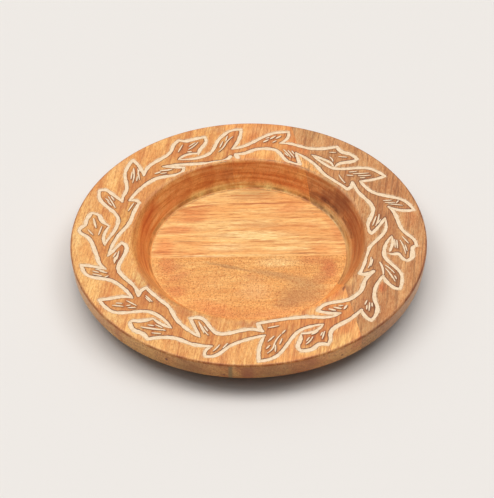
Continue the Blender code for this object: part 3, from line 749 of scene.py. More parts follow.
def srgb(red, green, blue):
    """A 0-255 screen colour as the linear colour that a shader takes."""
    def linear(value):
        value /= 255
        return value / 12.92 if value <= 0.04045 else ((value + 0.055) / 1.055) ** 2.4

    return (linear(red), linear(green), linear(blue), 1.0)


class Nodes:
    """Adds shader nodes to a tree; each method but put returns the new node's output socket."""

    def __init__(self, tree):
        self.tree = tree

    def put(self, kind, sockets, **settings):
        """Adds a node; sockets says for each input which output feeds it, or its value."""
        node = self.tree.nodes.new(kind)
        for name, value in settings.items():
            setattr(node, name, value)
        for name, value in sockets.items():
            if isinstance(value, bpy.types.NodeSocket):
                self.tree.links.new(value, node.inputs[name])
            else:
                node.inputs[name].default_value = value
        return node

    def math(self, operation, a, b=0.0):
        return self.put("ShaderNodeMath", {0: a, 1: b}, operation=operation).outputs[0]

    def times(self, first, *others):
        """The product of some values."""
        for other in others:
            first = self.math("MULTIPLY", first, other)
        return first

    def vector(self, operation, a, b=(0, 0, 0), output="Vector"):
        return self.put("ShaderNodeVectorMath", {0: a, 1: b}, operation=operation).outputs[output]

    def span(self, value, low, high, to_low=0.0, to_high=1.0):
        """A soft step from to_low, where the value is at low, to to_high, where it is at high."""
        sockets = {"Value": value, "From Min": low, "From Max": high, "To Min": to_low, "To Max": to_high}
        return self.put("ShaderNodeMapRange", sockets, interpolation_type="SMOOTHSTEP").outputs[0]

    def mix(self, share, a, b, blend="MIX"):
        sockets = {0: share, 6: a, 7: b}
        return self.put("ShaderNodeMix", sockets, data_type="RGBA", blend_type=blend).outputs[2]

    def grain(self, place, lean, across, along, shift=0.0):
        """Coordinates in units of a wavelength (mm) across and along a grain that leans from +Y."""
        turned = self.put("ShaderNodeMapping", {"Vector": place, "Rotation": (0, 0, lean)})
        scale = (1 / (across * MM), 1 / (along * MM), 1 / (across * MM))
        sockets = {"Vector": turned.outputs[0], "Scale": scale, "Location": (shift, shift * 2, shift * 3)}
        return self.put("ShaderNodeMapping", sockets).outputs[0]

    def noise(self, vector, detail=2.0, roughness=0.5, distortion=0.0, output="Fac"):
        sockets = {"Vector": vector, "Scale": 1.0, "Detail": detail, "Roughness": roughness,
                   "Distortion": distortion}
        return self.put("ShaderNodeTexNoise", sockets).outputs[output]

    def from_axis(self, place):
        """How far a place is from the plate's axis."""
        return self.vector("LENGTH", self.vector("MULTIPLY", place, (1, 1, 0)), output="Value")

    def heading(self, place):
        """The direction in which a place lies, seen from the axis."""
        return self.vector("NORMALIZE", self.vector("MULTIPLY", place, (1, 1, 0)))

    def round_axis(self, place, along, across):
        """Coordinates in units of a wavelength (mm) along circles round the axis and across them."""
        parts = self.put("ShaderNodeSeparateXYZ", {"Vector": self.heading(place)}).outputs
        sockets = {"X": self.times(parts["X"], FLOOR_RADIUS / along),
                   "Y": self.times(parts["Y"], FLOOR_RADIUS / along),
                   "Z": self.math("DIVIDE", self.from_axis(place), across * MM)}
        return self.put("ShaderNodeCombineXYZ", sockets).outputs[0]

    def attribute(self, name):
        return self.put("ShaderNodeAttribute", {}, attribute_name=name).outputs["Fac"]

    def shaded(self, colour, factor):
        """A colour made lighter or darker by a factor."""
        return self.put("ShaderNodeVectorMath", {0: colour, "Scale": factor}, operation="SCALE").outputs[0]

    def stained(self, share, colour, stain):
        """A colour multiplied by a stain (three factors), as far as share says."""
        return self.mix(share, colour, (*stain, 1.0), "MULTIPLY")

    def ramp(self, value, stops):
        node = self.put("ShaderNodeValToRGB", {"Fac": value})
        elements = node.color_ramp.elements
        while len(elements) < len(stops):
            elements.new(0.5)
        for element, (position, colour) in zip(elements, stops):
            element.position = position
            element.color = colour
        return node.outputs[0]


def new_material(name):
    """An empty material, its Nodes, and the socket that says where on the plate a point is."""
    material = bpy.data.materials.new(name)
    material.use_nodes = True
    material.node_tree.nodes.clear()
    add = Nodes(material.node_tree)
    return material, add, add.put("ShaderNodeTexCoord", {}).outputs["Object"]


def surface_shader(add, colour, roughness, height, bump, coat=0.0):
    """Ends a material with a fine bump and the surface shader."""
    sockets = {"Height": height, "Strength": bump, "Distance": 0.0002}
    normal = add.put("ShaderNodeBump", sockets).outputs[0]
    sockets = {"Base Color": colour, "Roughness": roughness, "Normal": normal, "Coat Weight": coat,
               "Coat Roughness": 0.35}
    shader = add.put("ShaderNodeBsdfPrincipled", sockets)
    add.put("ShaderNodeOutputMaterial", {"Surface": shader.outputs[0]})


def patch_group():
    """A node group: a soft-edged ellipse in the plan, as a mask from 0 to its strength."""
    tree = bpy.data.node_groups.new("patch", "ShaderNodeTree")
    tree.interface.new_socket("Place", in_out="INPUT", socket_type="NodeSocketVector")
    for name in ("X", "Y", "Half length", "Half width", "Turn", "Strength"):
        tree.interface.new_socket(name, in_out="INPUT", socket_type="NodeSocketFloat")
    tree.interface.new_socket("Mask", in_out="OUTPUT", socket_type="NodeSocketFloat")
    add = Nodes(tree)
    given = add.put("NodeGroupInput", {}).outputs
    centre = add.put("ShaderNodeCombineXYZ", {"X": given["X"], "Y": given["Y"]}).outputs[0]
    sockets = {"Vector": add.vector("SUBTRACT", given["Place"], centre), "Angle": given["Turn"]}
    turned = add.put("ShaderNodeVectorRotate", sockets, rotation_type="Z_AXIS").outputs[0]
    sockets = {"X": given["Half length"], "Y": given["Half width"], "Z": 1e6}
    size = add.put("ShaderNodeCombineXYZ", sockets).outputs[0]
    reach = add.vector("LENGTH", add.vector("DIVIDE", turned, size), output="Value")
    mask = add.times(add.span(reach, 1.15, 0.25), given["Strength"])
    add.put("NodeGroupOutput", {"Mask": mask})
    return tree


def add_patches(add, colour, place, patches, group):
    """Lays soft ellipses (x, y, half length, half width, degrees, strength, colour) over a colour."""
    for x, y, length, width, degrees, strength, tint in patches:
        sockets = {"Place": place, "X": x * MM, "Y": y * MM, "Half length": length * MM,
                   "Half width": width * MM, "Turn": -math.radians(degrees), "Strength": strength}
        mask = add.put("ShaderNodeGroup", sockets, node_tree=group).outputs[0]
        colour = add.mix(mask, colour, srgb(*tint))
    return colour


def facing(add, place, heading, spread):
    """Mask of the places within some degrees each side of a heading."""
    turn = math.radians(heading)
    towards = (math.cos(turn), math.sin(turn), 0)
    along = add.vector("DOT_PRODUCT", add.heading(place), towards, "Value")
    return add.span(along, math.cos(math.radians(spread)), math.cos(math.radians(spread / 2)))


# Thin broken lines of dirt and painted shade round the axis where two turned surfaces meet, on the rim and
# floor:
# (radius, half width, heading of the middle of the line, degrees each side of it, strength)
RIM_LINES = (
    (85.7, 0.8, 50, 44, 0.75),
    (90.2, 0.9, 27, 28, 0.75),
    (86.0, 1.0, 170, 85, 0.5),
    (101.8, 1.5, 232, 26, 0.35),
    (101.2, 0.4, 72, 18, 0.7),
)
FLOOR_LINES = (
    (83.9, 1.0, 92, 60, 0.4),
)


def ring_lines(add, place, rings):
    """Mask of thin broken lines of dirt and painted shade round the axis."""
    mask = 0.0
    for radius, half_width, heading, spread, strength in rings:
        gap = add.math("ABSOLUTE", add.math("SUBTRACT", add.from_axis(place), radius * MM))
        across = add.span(gap, 1.5 * half_width * MM, 0.5 * half_width * MM)
        broken = add.span(add.noise(add.grain(place, 0, 9, 9, radius), 2, 0.6), 0.4, 0.6, 0.3, 1.0)
        ring = add.times(across, broken, strength, facing(add, place, heading, spread))
        mask = add.math("MAXIMUM", mask, ring)
    return mask


# Factors by which wood differs in colour from the wood round it: dense growth rings, the lines of the turning
# tool, soft pale fibres, oil with painted shade on the slope, a painted highlight at its foot, painted shade
# on the outer edge, the edge band, the inside of the vine and of its leaves, painted shade on the underside,
# dirt and painted shade in a crease, a painted highlight on the outside of the well floor
RING_STAIN = (0.72, 0.5, 0.36)
TURNED_STAIN = (0.82, 0.6, 0.42)
PALE_STAIN = (1.07, 1.28, 1.6)
WALL_OIL_AND_SHADE = (1.06, 0.87, 0.72)
FOOT_HIGHLIGHT = (1.05, 1.5, 1.8)
EDGE_SHADE = (0.5, 0.34, 0.26)
BAND_STAIN = (0.66, 0.6, 0.45)
VINE_STAIN = (0.88, 0.8, 0.72)
LEAF_STAIN = (0.7, 0.62, 0.55)
UNDERSIDE_SHADE = (0.42, 0.42, 0.45)
CREASE_DIRT_AND_SHADE = (0.32, 0.22, 0.16)
FLOOR_EDGE_HIGHLIGHT = (1.03, 1.1, 1.16)

PORE_COLOUR = (164, 88, 32)
CUT_SIDE_STAIN_AND_SHADE = (126, 64, 24)
SCRATCH_SHADE_COLOUR = (112, 58, 28)
GROOVE_STAIN_AND_SHADE = (150, 104, 62)
SMEAR_COLOUR = (250, 220, 176)
KNOT_COLOUR = (120, 34, 22)


def growth_rings(add, place, lean, pith, spacing, seed):
    """Mask of the tree's dark rings: lines round a heart that lies along the grain."""
    def wavy(across, along, shift, detail, reach):
        swing = add.math("SUBTRACT", add.noise(add.grain(place, lean, across, along, shift), detail), 0.5)
        return add.times(swing, reach)

    turned = add.put("ShaderNodeMapping", {"Vector": place, "Rotation": (0, 0, lean)}).outputs[0]
    offset = add.vector("SUBTRACT", turned, (pith[0] * MM, 0, pith[1] * MM))
    radius = add.vector("LENGTH", add.vector("MULTIPLY", offset, (1, 0, 1)), output="Value")
    bent = add.math("ADD", radius, wavy(34, 130, seed + 20, 1, 0.034))
    bent = add.math("ADD", bent, wavy(7, 40, seed + 21, 2, 0.005))
    phase = add.math("FRACT", add.math("DIVIDE", bent, spacing * MM))
    uneven = add.span(add.noise(add.grain(place, lean, 13, 60, seed + 22), 2), 0.35, 0.65, 0.25, 1.0)
    return add.times(add.span(phase, 0.35, 0.94), add.span(phase, 1.0, 0.94), uneven)


def board_tone(add, place, lean, tints, patches, group, seed):
    """The slow changes of a board's colour: bands along the grain, and patches with uneven edges."""
    dark, middle, light = tints
    bands = add.noise(add.grain(place, lean, 11, 90, seed), 3, 0.6, 0.5)
    colour = add.ramp(bands, [(0.34, srgb(*dark)), (0.5, srgb(*middle)), (0.66, srgb(*light))])
    drift = add.noise(add.grain(place, lean, 5, 30, 2), 3, 0.6, output="Color")
    reach = (0.003 + 0.009 * abs(math.sin(lean)), 0.003 + 0.009 * abs(math.cos(lean)), 0)
    push = add.vector("MULTIPLY", add.vector("SUBTRACT", drift, (0.5, 0.5, 0.5)), reach)
    return add_patches(add, colour, add.vector("ADD", place, push), patches, group)


def pore_mask(add, place, lean, specks, seed):
    """Mask of the open pores, and of rounder specks where the board is cut across its grain."""
    long_pores = add.noise(add.grain(place, lean, 0.5, 3.4, seed + 11), 1, 0.5)
    pores = add.times(add.span(long_pores, 0.58, 0.72), 0.35)
    if specks:
        dots = add.noise(add.grain(place, lean, 0.9, 1.7, seed + 13), 2, 0.5)
        pores = add.math("MAXIMUM", pores, add.times(add.span(dots, 0.54, 0.68), specks))
    return pores


def well_wall(add, place, colour, plain):
    """The turned slope of the well: less grain than the flat, lines of the tool, darker oil with painted
    shade.
    """
    wall = add.attribute("wall")
    colour = add.mix(add.times(wall, 0.5), colour, plain)
    turned = add.noise(add.round_axis(place, 45, 1.4), 3, 0.6)
    colour = add.stained(add.times(wall, add.span(turned, 0.52, 0.34)), colour, TURNED_STAIN)
    colour = add.stained(add.times(wall, add.span(turned, 0.5, 0.68)), colour, PALE_STAIN)
    # the slope's oiled colour, with painted shade
    return add.stained(wall, colour, WALL_OIL_AND_SHADE)


def well_floor(add, place, colour):
    """The outside of the well floor: a painted highlight at the left, a line of dirt and painted shade at the
    back.
    """
    lit_floor_edge = add.span(add.from_axis(place), (FLOOR_RADIUS - 3.4) * MM, (FLOOR_RADIUS - 1.6) * MM)
    # painted highlight round the edge of the floor at the left
    colour = add.stained(add.times(lit_floor_edge, facing(add, place, 185, 80)), colour, FLOOR_EDGE_HIGHLIGHT)
    return add.stained(ring_lines(add, place, FLOOR_LINES), colour, CREASE_DIRT_AND_SHADE)


def wood(name, lean, tints, streak, patches, group, pith, ring, rings, streaks, fibres=0.5,
         fibre_length=9, curl=0.0, specks=0.0, carved=False, vine_share=1.0):
    """Sanded, oiled wood whose grain leans from +Y.

    tints are the dark, middle and light colours of its bands and streak the colour of its streaks.
    pith is where the heart of the tree was, across the grain and up (mm), and ring the ring spacing
    (mm).  rings, streaks, fibres, curl, specks and vine_share say how strongly each of them shows.
    """
    material, add, place = new_material(name)
    seed = sum(map(ord, name)) % 17
    plain = board_tone(add, place, lean, tints, patches, group, seed)

    fine = add.noise(add.grain(place, lean, 1.7, 34, seed + 5), 3, 0.62, 0.35)
    colour = add.mix(add.times(add.span(fine, 0.5, 0.66), streaks), plain, srgb(*streak))
    colour = add.shaded(colour, add.span(fine, 0.34, 0.5, 1 + 0.14 * streaks, 1.0))
    late = add.times(growth_rings(add, place, lean, pith, ring, seed), rings)
    colour = add.stained(late, colour, RING_STAIN)
    fibre = add.noise(add.grain(place, lean, 0.9, fibre_length, seed + 8), 2, 0.75)
    colour = add.stained(add.span(fibre, 0.5, 0.3, 0.0, 0.8 * fibres), colour, RING_STAIN)
    colour = add.stained(add.span(fibre, 0.5, 0.7, 0.0, fibres), colour, PALE_STAIN)
    if curl:
        ripple = add.noise(add.grain(place, lean, 1.9, 1.2, seed + 9), 3, 0.7, 0.8)
        colour = add.stained(add.times(add.span(ripple, 0.55, 0.3), curl), colour, RING_STAIN)
        colour = add.stained(add.span(ripple, 0.5, 0.7, 0.0, 0.7 * curl), colour, PALE_STAIN)
    pore = pore_mask(add, place, lean, specks, seed)
    colour = add.mix(pore, colour, srgb(*PORE_COLOUR))

    if carved:
        colour = well_wall(add, place, colour, plain)
        colour = garland_looks(add, place, colour, vine_share)
        colour = edge_looks(add, place, colour, group)
    else:
        colour = well_floor(add, place, colour)
    gloss = add.math("ADD", add.span(fibre, 0.2, 0.8, 0.38, 0.54), add.times(pore, 0.25))
    height = add.math("SUBTRACT", add.times(fibre, 0.25), pore)
    surface_shader(add, colour, gloss, height, 0.35, coat=0.05)
    return material


def garland_looks(add, place, colour, vine_share):
    """Colour by the carving: a darker vine, stain and painted shade at the cuts, smeared paste, painted
    scratch shade.
    """
    groove = add.attribute("groove")
    scratch = add.attribute("scratch")
    vine = add.attribute("vine")
    colour = add.stained(add.times(vine, vine_share), colour, VINE_STAIN)
    patchy = add.span(add.noise(add.grain(place, 0, 4, 5, 4), 2, 0.6), 0.3, 0.62, 0.3, 1.0)
    within = add.times(add.span(groove, 1.1, 0.1), vine)
    outside = add.times(add.span(groove, 0.8, 0.0), 0.25)
    beside = add.times(add.math("MAXIMUM", within, outside), patchy)
    # brown stain and painted shade beside the cuts
    colour = add.mix(beside, colour, srgb(*CUT_SIDE_STAIN_AND_SHADE))
    smear = add.span(add.noise(add.grain(place, 0, 3, 3, 9), 3, 0.6), 0.4, 0.6, 0.0, 0.5)
    smear = add.times(smear, add.span(groove, 1.5, 0.1), add.math("SUBTRACT", 1.0, vine))
    colour = add.mix(smear, colour, srgb(*SMEAR_COLOUR))
    colour = add.stained(add.span(scratch, 2.6, 0.3, 0.0, 0.65), colour, LEAF_STAIN)
    # painted shade on the dark side of each scratch
    colour = add.mix(add.times(add.span(scratch, 0.6, 0.0), 0.8), colour, srgb(*SCRATCH_SHADE_COLOUR))
    # stain and painted shade inside the grooves
    return add.mix(add.span(groove, 0.05, -0.45), colour, srgb(*GROOVE_STAIN_AND_SHADE))


# Colour on the edge band: (heading, half as many degrees long, strength, colour)
BAND_SPOTS = (
    (263.8, 0.8, 0.7, (128, 112, 70)),
    (269.2, 2.6, 0.7, (168, 88, 44)),
    (278, 8, 0.4, (150, 104, 62)),
    (296, 11, 0.22, (232, 150, 92)),
    (331, 22, 0.3, (222, 184, 150)),
    (205, 18, 0.25, (236, 194, 154)),
    (186, 14, 0.5, (250, 226, 204)),
    (347, 14, 0.35, (236, 208, 180)),
    (287, 4, 0.3, (170, 92, 50)),
    (251, 6, 0.4, (140, 92, 52)),
)

# Dark red pin knots on the edge band: (heading, height, radius)
PIN_KNOTS = ((243.5, 22, 1.5), (257.5, 17, 1.1), (261.8, 17.5, 1.3), (299, 20, 1.2))


def on_edge(heading):
    """x and y of a point on the plate's outside."""
    turn = math.radians(heading)
    return PLATE_RADIUS * math.cos(turn), PLATE_RADIUS * math.sin(turn)


def pin_knots(add, place):
    """Mask of the small round knots."""
    mask = 0.0
    for heading, height, radius in PIN_KNOTS:
        centre = tuple(MM * v for v in (*on_edge(heading), height))
        gap = add.vector("DISTANCE", place, centre, "Value")
        mask = add.math("MAXIMUM", mask, add.span(gap, 1.3 * radius * MM, 0.4 * radius * MM))
    return mask


def edge_looks(add, place, colour, group):
    """Colour of the edge band; painted shade on the outer edge and underside; a painted highlight at the
    slope's foot.
    """
    # painted shade along the rounded outer edge, broken up by noise
    edge_breakup = add.noise(add.grain(place, 0, 9, 9, 6), 2, 0.6)
    edge = add.times(add.attribute("edge"), add.span(edge_breakup, 0.3, 0.6, 0.45, 1.0))
    colour = add.stained(edge, colour, EDGE_SHADE)
    colour = add.stained(add.attribute("band"), colour, BAND_STAIN)
    spots = [(*on_edge(heading), PLATE_RADIUS * math.radians(half), 20, heading + 90, strength, tint)
             for heading, half, strength, tint in BAND_SPOTS]
    colour = add.mix(add.attribute("side"), colour, add_patches(add, colour, place, spots, group))
    colour = add.mix(pin_knots(add, place), colour, srgb(*KNOT_COLOUR))
    # painted shade on the underside
    colour = add.stained(add.attribute("under"), colour, UNDERSIDE_SHADE)
    # painted highlight on the cove at the foot of the slope, except towards the left
    foot = add.times(add.attribute("foot"), facing(add, place, 50, 125))
    colour = add.stained(foot, colour, FOOT_HIGHLIGHT)
    # dirt and painted shade in the creases and at the lip
    return add.stained(ring_lines(add, place, RIM_LINES), colour, CREASE_DIRT_AND_SHADE)


def paste_material():
    """Chalky limewash: creamy, blotchy, stained where the wood shows through."""
    material, add, place = new_material("limewash_paste")
    cloud = add.noise(add.grain(place, 0, 3, 3), 3, 0.65)
    grit = add.noise(add.grain(place, 0, 0.5, 0.5, 5), 2, 0.7)
    colour = add.mix(add.span(cloud, 0.35, 0.75), srgb(250, 225, 192), srgb(236, 205, 166))
    stain = add.times(add.span(grit, 0.52, 0.75), 0.4)
    colour = add.mix(stain, colour, srgb(208, 164, 112))
    surface_shader(add, colour, add.span(cloud, 0.3, 0.7, 0.7, 0.85), grit, 0.4)
    return material


# ---------------------------------------------------------------- stage


def table_material():
    material = bpy.data.materials.new("pale_table")
    material.use_nodes = True
    shader = material.node_tree.nodes["Principled BSDF"]
    shader.inputs["Base Color"].default_value = srgb(233, 230, 227)
    shader.inputs["Roughness"].default_value = 0.9
    shader.inputs["Specular IOR Level"].default_value = 0.2
    return material


def stage():
    """The plain table top."""
    mesh = bpy.data.meshes.new("table_top")
    corners = [(x * TABLE_HALF_SIDE, y * TABLE_HALF_SIDE, 0) for x, y in ((-1, -1), (1, -1), (1, 1), (-1, 1))]
    mesh.from_pydata(corners, [], [(0, 1, 2, 3)])
    mesh.materials.append(table_material())
    table = bpy.data.objects.new("table_top", mesh)
    bpy.context.scene.collection.objects.link(table)


def lights():
    """A pale studio: a glow from above and behind, dimmer towards the front, and soft lamps."""
    world = bpy.data.worlds.new("studio")
    world.use_nodes = True
    add = Nodes(world.node_tree)
    brightest = Vector((-0.1, 0.35, 0.93)).normalized()
    towards = add.put("ShaderNodeTexCoord", {}).outputs["Generated"]
    above = add.vector("DOT_PRODUCT", towards, tuple(brightest), "Value")
    background = world.node_tree.nodes["Background"]
    background.inputs["Color"].default_value = STUDIO_TINT
    glow = add.span(above, -0.05, 1.0, STUDIO_LOW, STUDIO_HIGH)
    world.node_tree.links.new(glow, background.inputs["Strength"])
    bpy.context.scene.world = world
    for number, (sideways, strength) in enumerate(LAMPS, start=1):
        data = bpy.data.lights.new(f"soft_lamp_{number}", "SUN")
        data.energy = strength
        data.angle = math.radians(LAMP_ANGLE)
        data.color = STUDIO_TINT[:3]
        obj = bpy.data.objects.new(data.name, data)
        obj.rotation_euler = Vector((sideways, LAMP_BACK, 1)).to_track_quat("Z", "Y").to_euler()
        bpy.context.scene.collection.objects.link(obj)
    bpy.context.scene.view_settings.view_transform = "Standard"


def camera():
    """The camera looks from the front and 43 degrees up, and is rolled by one degree."""
    elevation = math.radians(43.2485)
    roll = math.radians(-1.0163)
    distance = 1.525
    focal_pixels = 1795.12
    frame_height = 498
    aim = Vector((-0.00146, -0.01678, PLATE_HEIGHT * MM))
    up = Vector((0, math.sin(elevation), math.cos(elevation)))
    right = Vector((1, 0, 0))
    turned_right = right * math.cos(roll) + up * math.sin(roll)
    turned_up = up * math.cos(roll) - right * math.sin(roll)
    back = Vector((0, -math.cos(elevation), math.sin(elevation)))
    data = bpy.data.cameras.new("camera")
    data.sensor_width = 36
    data.sensor_fit = "AUTO"
    data.lens = focal_pixels / frame_height * data.sensor_width
    obj = bpy.data.objects.new("camera", data)
    pose = Matrix((turned_right, turned_up, back)).transposed().to_4x4()
    pose.translation = aim + back * distance
    obj.matrix_world = pose
    bpy.context.scene.collection.objects.link(obj)
    bpy.context.scene.camera = obj


# ---------------------------------------------------------------- the plate

RIM_LEAN = math.radians(8.5)
FLOOR_LEAN = math.radians(90)

# Local colour of the boards: soft ellipses (x, y, half length, half width, degrees, strength, colour)
LEFT_PATCHES = (
    (-92, -52, 18, 5, 118, 0.7, (254, 214, 134)),
    (-26, -146, 22, 6, 10, 0.6, (244, 178, 106)),
    (-140, 25, 45, 12, 85, 0.6, (253, 200, 122)),
    (-138, -45, 45, 12, 110, 0.6, (252, 200, 120)),
    (-147, 0, 12, 5, 90, 0.5, (253, 214, 142)),
    (-104, 30, 30, 7, 75, 0.6, (252, 196, 110)),
    (-99, -25, 26, 5, 100, 0.5, (250, 186, 104)),
    (-95, 108, 14, 9, 40, 0.5, (228, 142, 70)),
    (-55, 115, 24, 10, 20, 0.5, (232, 142, 72)),
    (-22, 143, 20, 5, -5, 0.6, (226, 168, 106)),
    (-70, 132, 26, 6, 28, 0.4, (240, 176, 100)),
    (-15, 120, 12, 10, 0, 0.5, (240, 150, 74)),
    (-88, 30, 26, 6, 80, 0.7, (214, 112, 46)),
    (-62, 68, 24, 7, 45, 0.3, (214, 120, 58)),
    (-72, 50, 22, 2.5, 56, 0.6, (246, 160, 88)),
    (-30, 90, 22, 6, 15, 0.5, (214, 118, 56)),
    (-90, -12, 26, 6, 97, 0.7, (212, 128, 62)),
    (-80, -48, 28, 7, 121, 0.85, (202, 144, 84)),
    (-58, -74, 16, 6, 145, 0.6, (214, 150, 88)),
    (-81, 47, 10, 5, 58, 0.6, (208, 112, 50)),
    (-113, -95, 14, 7, 130, 0.6, (253, 208, 132)),
    (-53, -92, 13, 5, -30, 0.6, (202, 130, 70)),
    (0, -106, 16, 5, 0, 0.85, (206, 136, 78)),
    (-112, 96, 14, 8, 50, 0.5, (253, 196, 124)),
    (-15, 91, 10, 5, 8, 0.5, (188, 104, 52)),
    (-88, -118, 32, 11, -52, 0.7, (252, 196, 116)),
    (-50, -132, 26, 10, -20, 0.6, (238, 176, 102)),
    (-12, -134, 14, 14, 0, 0.4, (240, 166, 92)),
    (-62, -88, 14, 14, -30, 0.4, (214, 136, 68)),
)
RIGHT_PATCHES = (
    (57, 87, 16, 6, -55, 0.95, (254, 184, 104)),
    (50, 113, 12, 6, -60, 0.8, (236, 142, 72)),
    (60, 134, 16, 10, -25, 0.6, (204, 152, 92)),
    (100, 108, 22, 8, -45, 0.4, (206, 140, 78)),
    (128, 62, 14, 10, 80, 0.5, (190, 116, 60)),
    (140, 22, 22, 7, 88, 0.6, (204, 118, 58)),
    (142, -25, 30, 8, 100, 0.5, (216, 142, 80)),
    (104, 30, 22, 5, 82, 0.5, (206, 150, 90)),
    (70, 60, 9, 5, -45, 0.8, (152, 86, 44)),
    (72, 69, 11, 4.5, -46, 0.95, (216, 166, 104)),
    (82, 47, 20, 7, -60, 0.85, (146, 84, 42)),
    (138, 50, 14, 7, 110, 0.5, (202, 128, 66)),
    (113, -96, 10, 6, 40, 0.5, (200, 130, 66)),
    (88, -26, 14, 7, 72, 0.5, (180, 122, 72)),
    (92, 53, 10, 5, -60, 0.7, (194, 126, 70)),
    (91, 22, 20, 7, -76, 0.7, (164, 96, 50)),
    (93, -8, 20, 6, 88, 0.6, (178, 104, 54)),
    (88, -34, 14, 5, 68, 0.5, (204, 128, 70)),
    (110, -66, 8, 5, 80, 0.8, (214, 110, 48)),
    (92, -84, 14, 8, 40, 0.4, (214, 150, 92)),
    (96, -112, 16, 10, -10, 0.6, (206, 152, 92)),
    (124, -90, 20, 9, 50, 0.5, (200, 132, 74)),
    (84, -60, 7, 4, 50, 0.7, (236, 176, 104)),
)
MIDDLE_PATCHES = (
    (74, -126, 14, 8, 35, 0.7, (255, 206, 124)),
    (18, 140, 20, 8, 0, 0.6, (242, 182, 116)),
    (40, 122, 10, 8, 0, 0.5, (240, 150, 76)),
    (14, 108, 16, 6, 0, 0.7, (255, 188, 104)),
    (52, 92, 8, 5, -30, 0.7, (252, 172, 88)),
    (25, 94, 26, 4, -14, 0.6, (236, 158, 84)),
    (16, 91, 14, 5, -8, 0.6, (246, 166, 94)),
    (24, 93, 26, 3, -14, 0.5, (250, 176, 104)),
    (38, 80, 26, 4, -28, 0.5, (240, 150, 78)),
    (72, -73, 9, 5, 50, 0.8, (222, 122, 52)),
    (78, -66, 5, 1.2, 75, 0.9, (134, 66, 30)),
    (76, -104, 4, 12, 0, 0.7, (214, 128, 56)),
    (24, -118, 16, 12, 0, 0.4, (222, 150, 80)),
    (55, -134, 26, 9, 14, 0.7, (255, 204, 122)),
    (45, -104, 20, 5, 0, 0.5, (248, 170, 88)),
    (53, -92, 10, 5, 30, 0.6, (255, 198, 120)),
)
FLOOR_BACK_PATCHES = (
    (0, 23, 50, 7, 0, 0.9, (255, 216, 144)),
    (-20, 8, 28, 7, 0, 0.8, (255, 210, 140)),
    (32, 5, 24, 4, 0, 0.8, (255, 212, 140)),
    (-35, -2.5, 30, 1.4, 0, 0.9, (255, 216, 152)),
    (-72, 8, 10, 13, 0, 0.7, (238, 144, 72)),
    (-50, 44, 16, 5, 5, 0.8, (224, 132, 64)),
    (-62, 31, 22, 7, 0, 0.7, (234, 148, 80)),
    (-46, 53, 16, 6, 8, 0.6, (232, 140, 70)),
    (-42, 61.5, 20, 1.5, 8, 0.8, (190, 94, 40)),
    (10, 64.3, 38, 1.2, 0, 0.9, (184, 92, 38)),
    (38, 56, 20, 7, 10, 0.6, (232, 138, 70)),
    (4, 77, 28, 7, 0, 0.8, (206, 158, 94)),
    (14, 36, 20, 5, 0, 0.6, (224, 164, 98)),
    (64, 4, 12, 8, 0, 0.6, (240, 152, 76)),
    (76, 27, 6, 22, 16, 0.7, (230, 146, 78)),
    (-60, 33, 16, 5, 0, 0.5, (232, 140, 72)),
    (56, 35, 14, 5, 0, 0.6, (240, 162, 90)),
    (0, 35, 14, 5, 0, 0.5, (232, 164, 96)),
    (0, 72, 34, 7, 0, 0.4, (222, 156, 92)),
    (48, -1.3, 22, 0.9, 0, 0.9, (176, 104, 48)),
    (-54, 16.5, 14, 0.8, 0, 0.8, (176, 104, 48)),
    (14, 15, 16, 0.8, 0, 0.8, (190, 114, 52)),
    (52, 17, 30, 0.8, 0, 0.7, (190, 114, 52)),
)
FLOOR_FRONT_PATCHES = (
    (-70, -14, 10, 16, 0, 0.7, (230, 136, 66)),
    (-60, -27, 16, 6, 30, 0.6, (222, 132, 68)),
    (68, -20, 9, 18, 0, 0.8, (214, 116, 54)),
    (54, -9, 14, 8, 0, 0.6, (228, 138, 70)),
    (-18, -16.5, 24, 2.6, -18, 0.7, (190, 140, 82)),
    (18, -26, 26, 5, -14, 0.6, (196, 146, 88)),
    (46, -37, 24, 9, -16, 0.6, (196, 142, 84)),
    (45, -52, 26, 16, 0, 0.7, (202, 146, 84)),
    (32, -62, 16, 9, 10, 0.6, (192, 132, 74)),
    (61, -32, 9, 9, 0, 0.6, (208, 132, 70)),
    (-62, -46, 11, 9, 0, 0.6, (224, 134, 68)),
    (-62, -15, 9, 6, 0, 0.6, (222, 142, 74)),
    (2, -30, 14, 5, -14, 0.5, (220, 152, 88)),
    (24, -12, 24, 8, 0, 0.8, (255, 206, 132)),
    (4, -46, 18, 14, 0, 0.7, (250, 190, 118)),
    (-38, -36, 22, 14, 0, 0.4, (248, 176, 98)),
    (-30, -66, 26, 10, -30, 0.5, (238, 146, 74)),
    (20, -74, 30, 7, 8, 0.4, (236, 160, 92)),
)


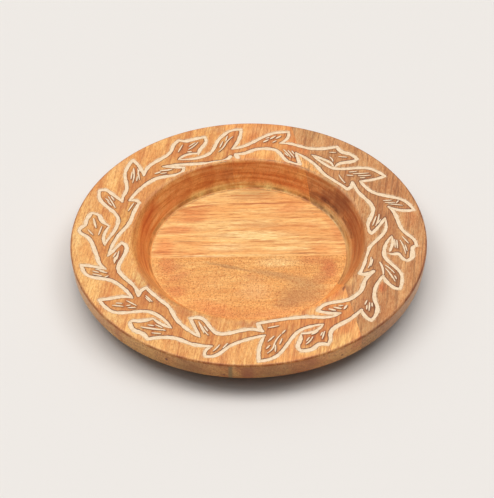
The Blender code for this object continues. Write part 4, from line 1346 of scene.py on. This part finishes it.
def woods():
    """The five board materials: left, right and middle of the rim, back and front of the floor."""
    group = patch_group()
    left = wood(
        "left_board_wood", RIM_LEAN, ((222, 142, 72), (240, 170, 92), (250, 190, 112)), (206, 120, 56),
        LEFT_PATCHES, group, pith=(-75, -60), ring=6.5, rings=0.4, streaks=0.65, fibres=0.95,
        fibre_length=4.5, specks=0.3, carved=True)
    right = wood(
        "right_board_wood", RIM_LEAN, ((184, 120, 66), (212, 148, 88), (226, 166, 104)), (150, 94, 48),
        RIGHT_PATCHES, group, pith=(112, -60), ring=6, rings=0.4, streaks=0.65, fibres=1.0,
        fibre_length=4.5, specks=0.4, carved=True, vine_share=0.55)
    middle = wood(
        "middle_board_wood", RIM_LEAN, ((222, 138, 70), (242, 164, 88), (252, 190, 112)), (198, 110, 52),
        MIDDLE_PATCHES, group, pith=(34, -50), ring=5.5, rings=0.45, streaks=0.75, fibres=0.9,
        fibre_length=7, carved=True)
    back = wood(
        "floor_back_wood", FLOOR_LEAN, ((240, 162, 86), (249, 184, 106), (254, 202, 126)), (210, 122, 54),
        FLOOR_BACK_PATCHES, group, pith=(-40, -300), ring=7, rings=0.2, streaks=0.75, fibres=0.85)
    front = wood(
        "floor_front_wood", FLOOR_LEAN, ((232, 156, 76), (246, 176, 92), (253, 192, 110)), (196, 126, 58),
        FLOOR_FRONT_PATCHES, group, pith=(40, -200), ring=8, rings=0.15, streaks=0.3, fibre_length=4,
        curl=1.0, specks=0.65)
    return left, right, middle, back, front


def boards(lines, scratches):
    """The four boards of the rim and the two of the floor."""
    left, right, middle, back, front = woods()
    left_point, left_lean = LEFT_GLUE_LINE
    right_point, right_lean = RIGHT_GLUE_LINE
    off_left = Vector((math.cos(left_lean), math.sin(left_lean), 0))
    off_right = Vector((math.cos(right_lean), math.sin(right_lean), 0))
    left_cut, right_cut = [(left_point, -off_left)], [(right_point, off_right)]
    both_cuts = [(left_point, off_left), (right_point, -off_right)]
    for name, slot, material, sector, cuts in (
            ("left", "wood_honey", left, (96.3, 279.6), left_cut),
            ("middle_back", "wood_amber", middle, (46, 99.5), both_cuts),
            ("middle_front", "wood_amber", middle, (276, 334.2), both_cuts),
            ("right", "wood_tan", right, (-55.5, 75.6), right_cut)):
        rim_board(f"rim_board_{name}", slot, material, sector, cuts, lines, scratches)
    floor_board("floor_board_back", "wood_amber", back, Vector((0, 1, 0)))
    floor_board("floor_board_front", "wood_honey", front, Vector((0, -1, 0)))


def main():
    lines = carved_lines()
    scratches = scratch_lines()
    paste = paste_material()
    boards(lines, scratches)
    groove_paste(lines, paste)
    scratch_paste(scratches, paste)
    stage()
    lights()
    camera()


main()
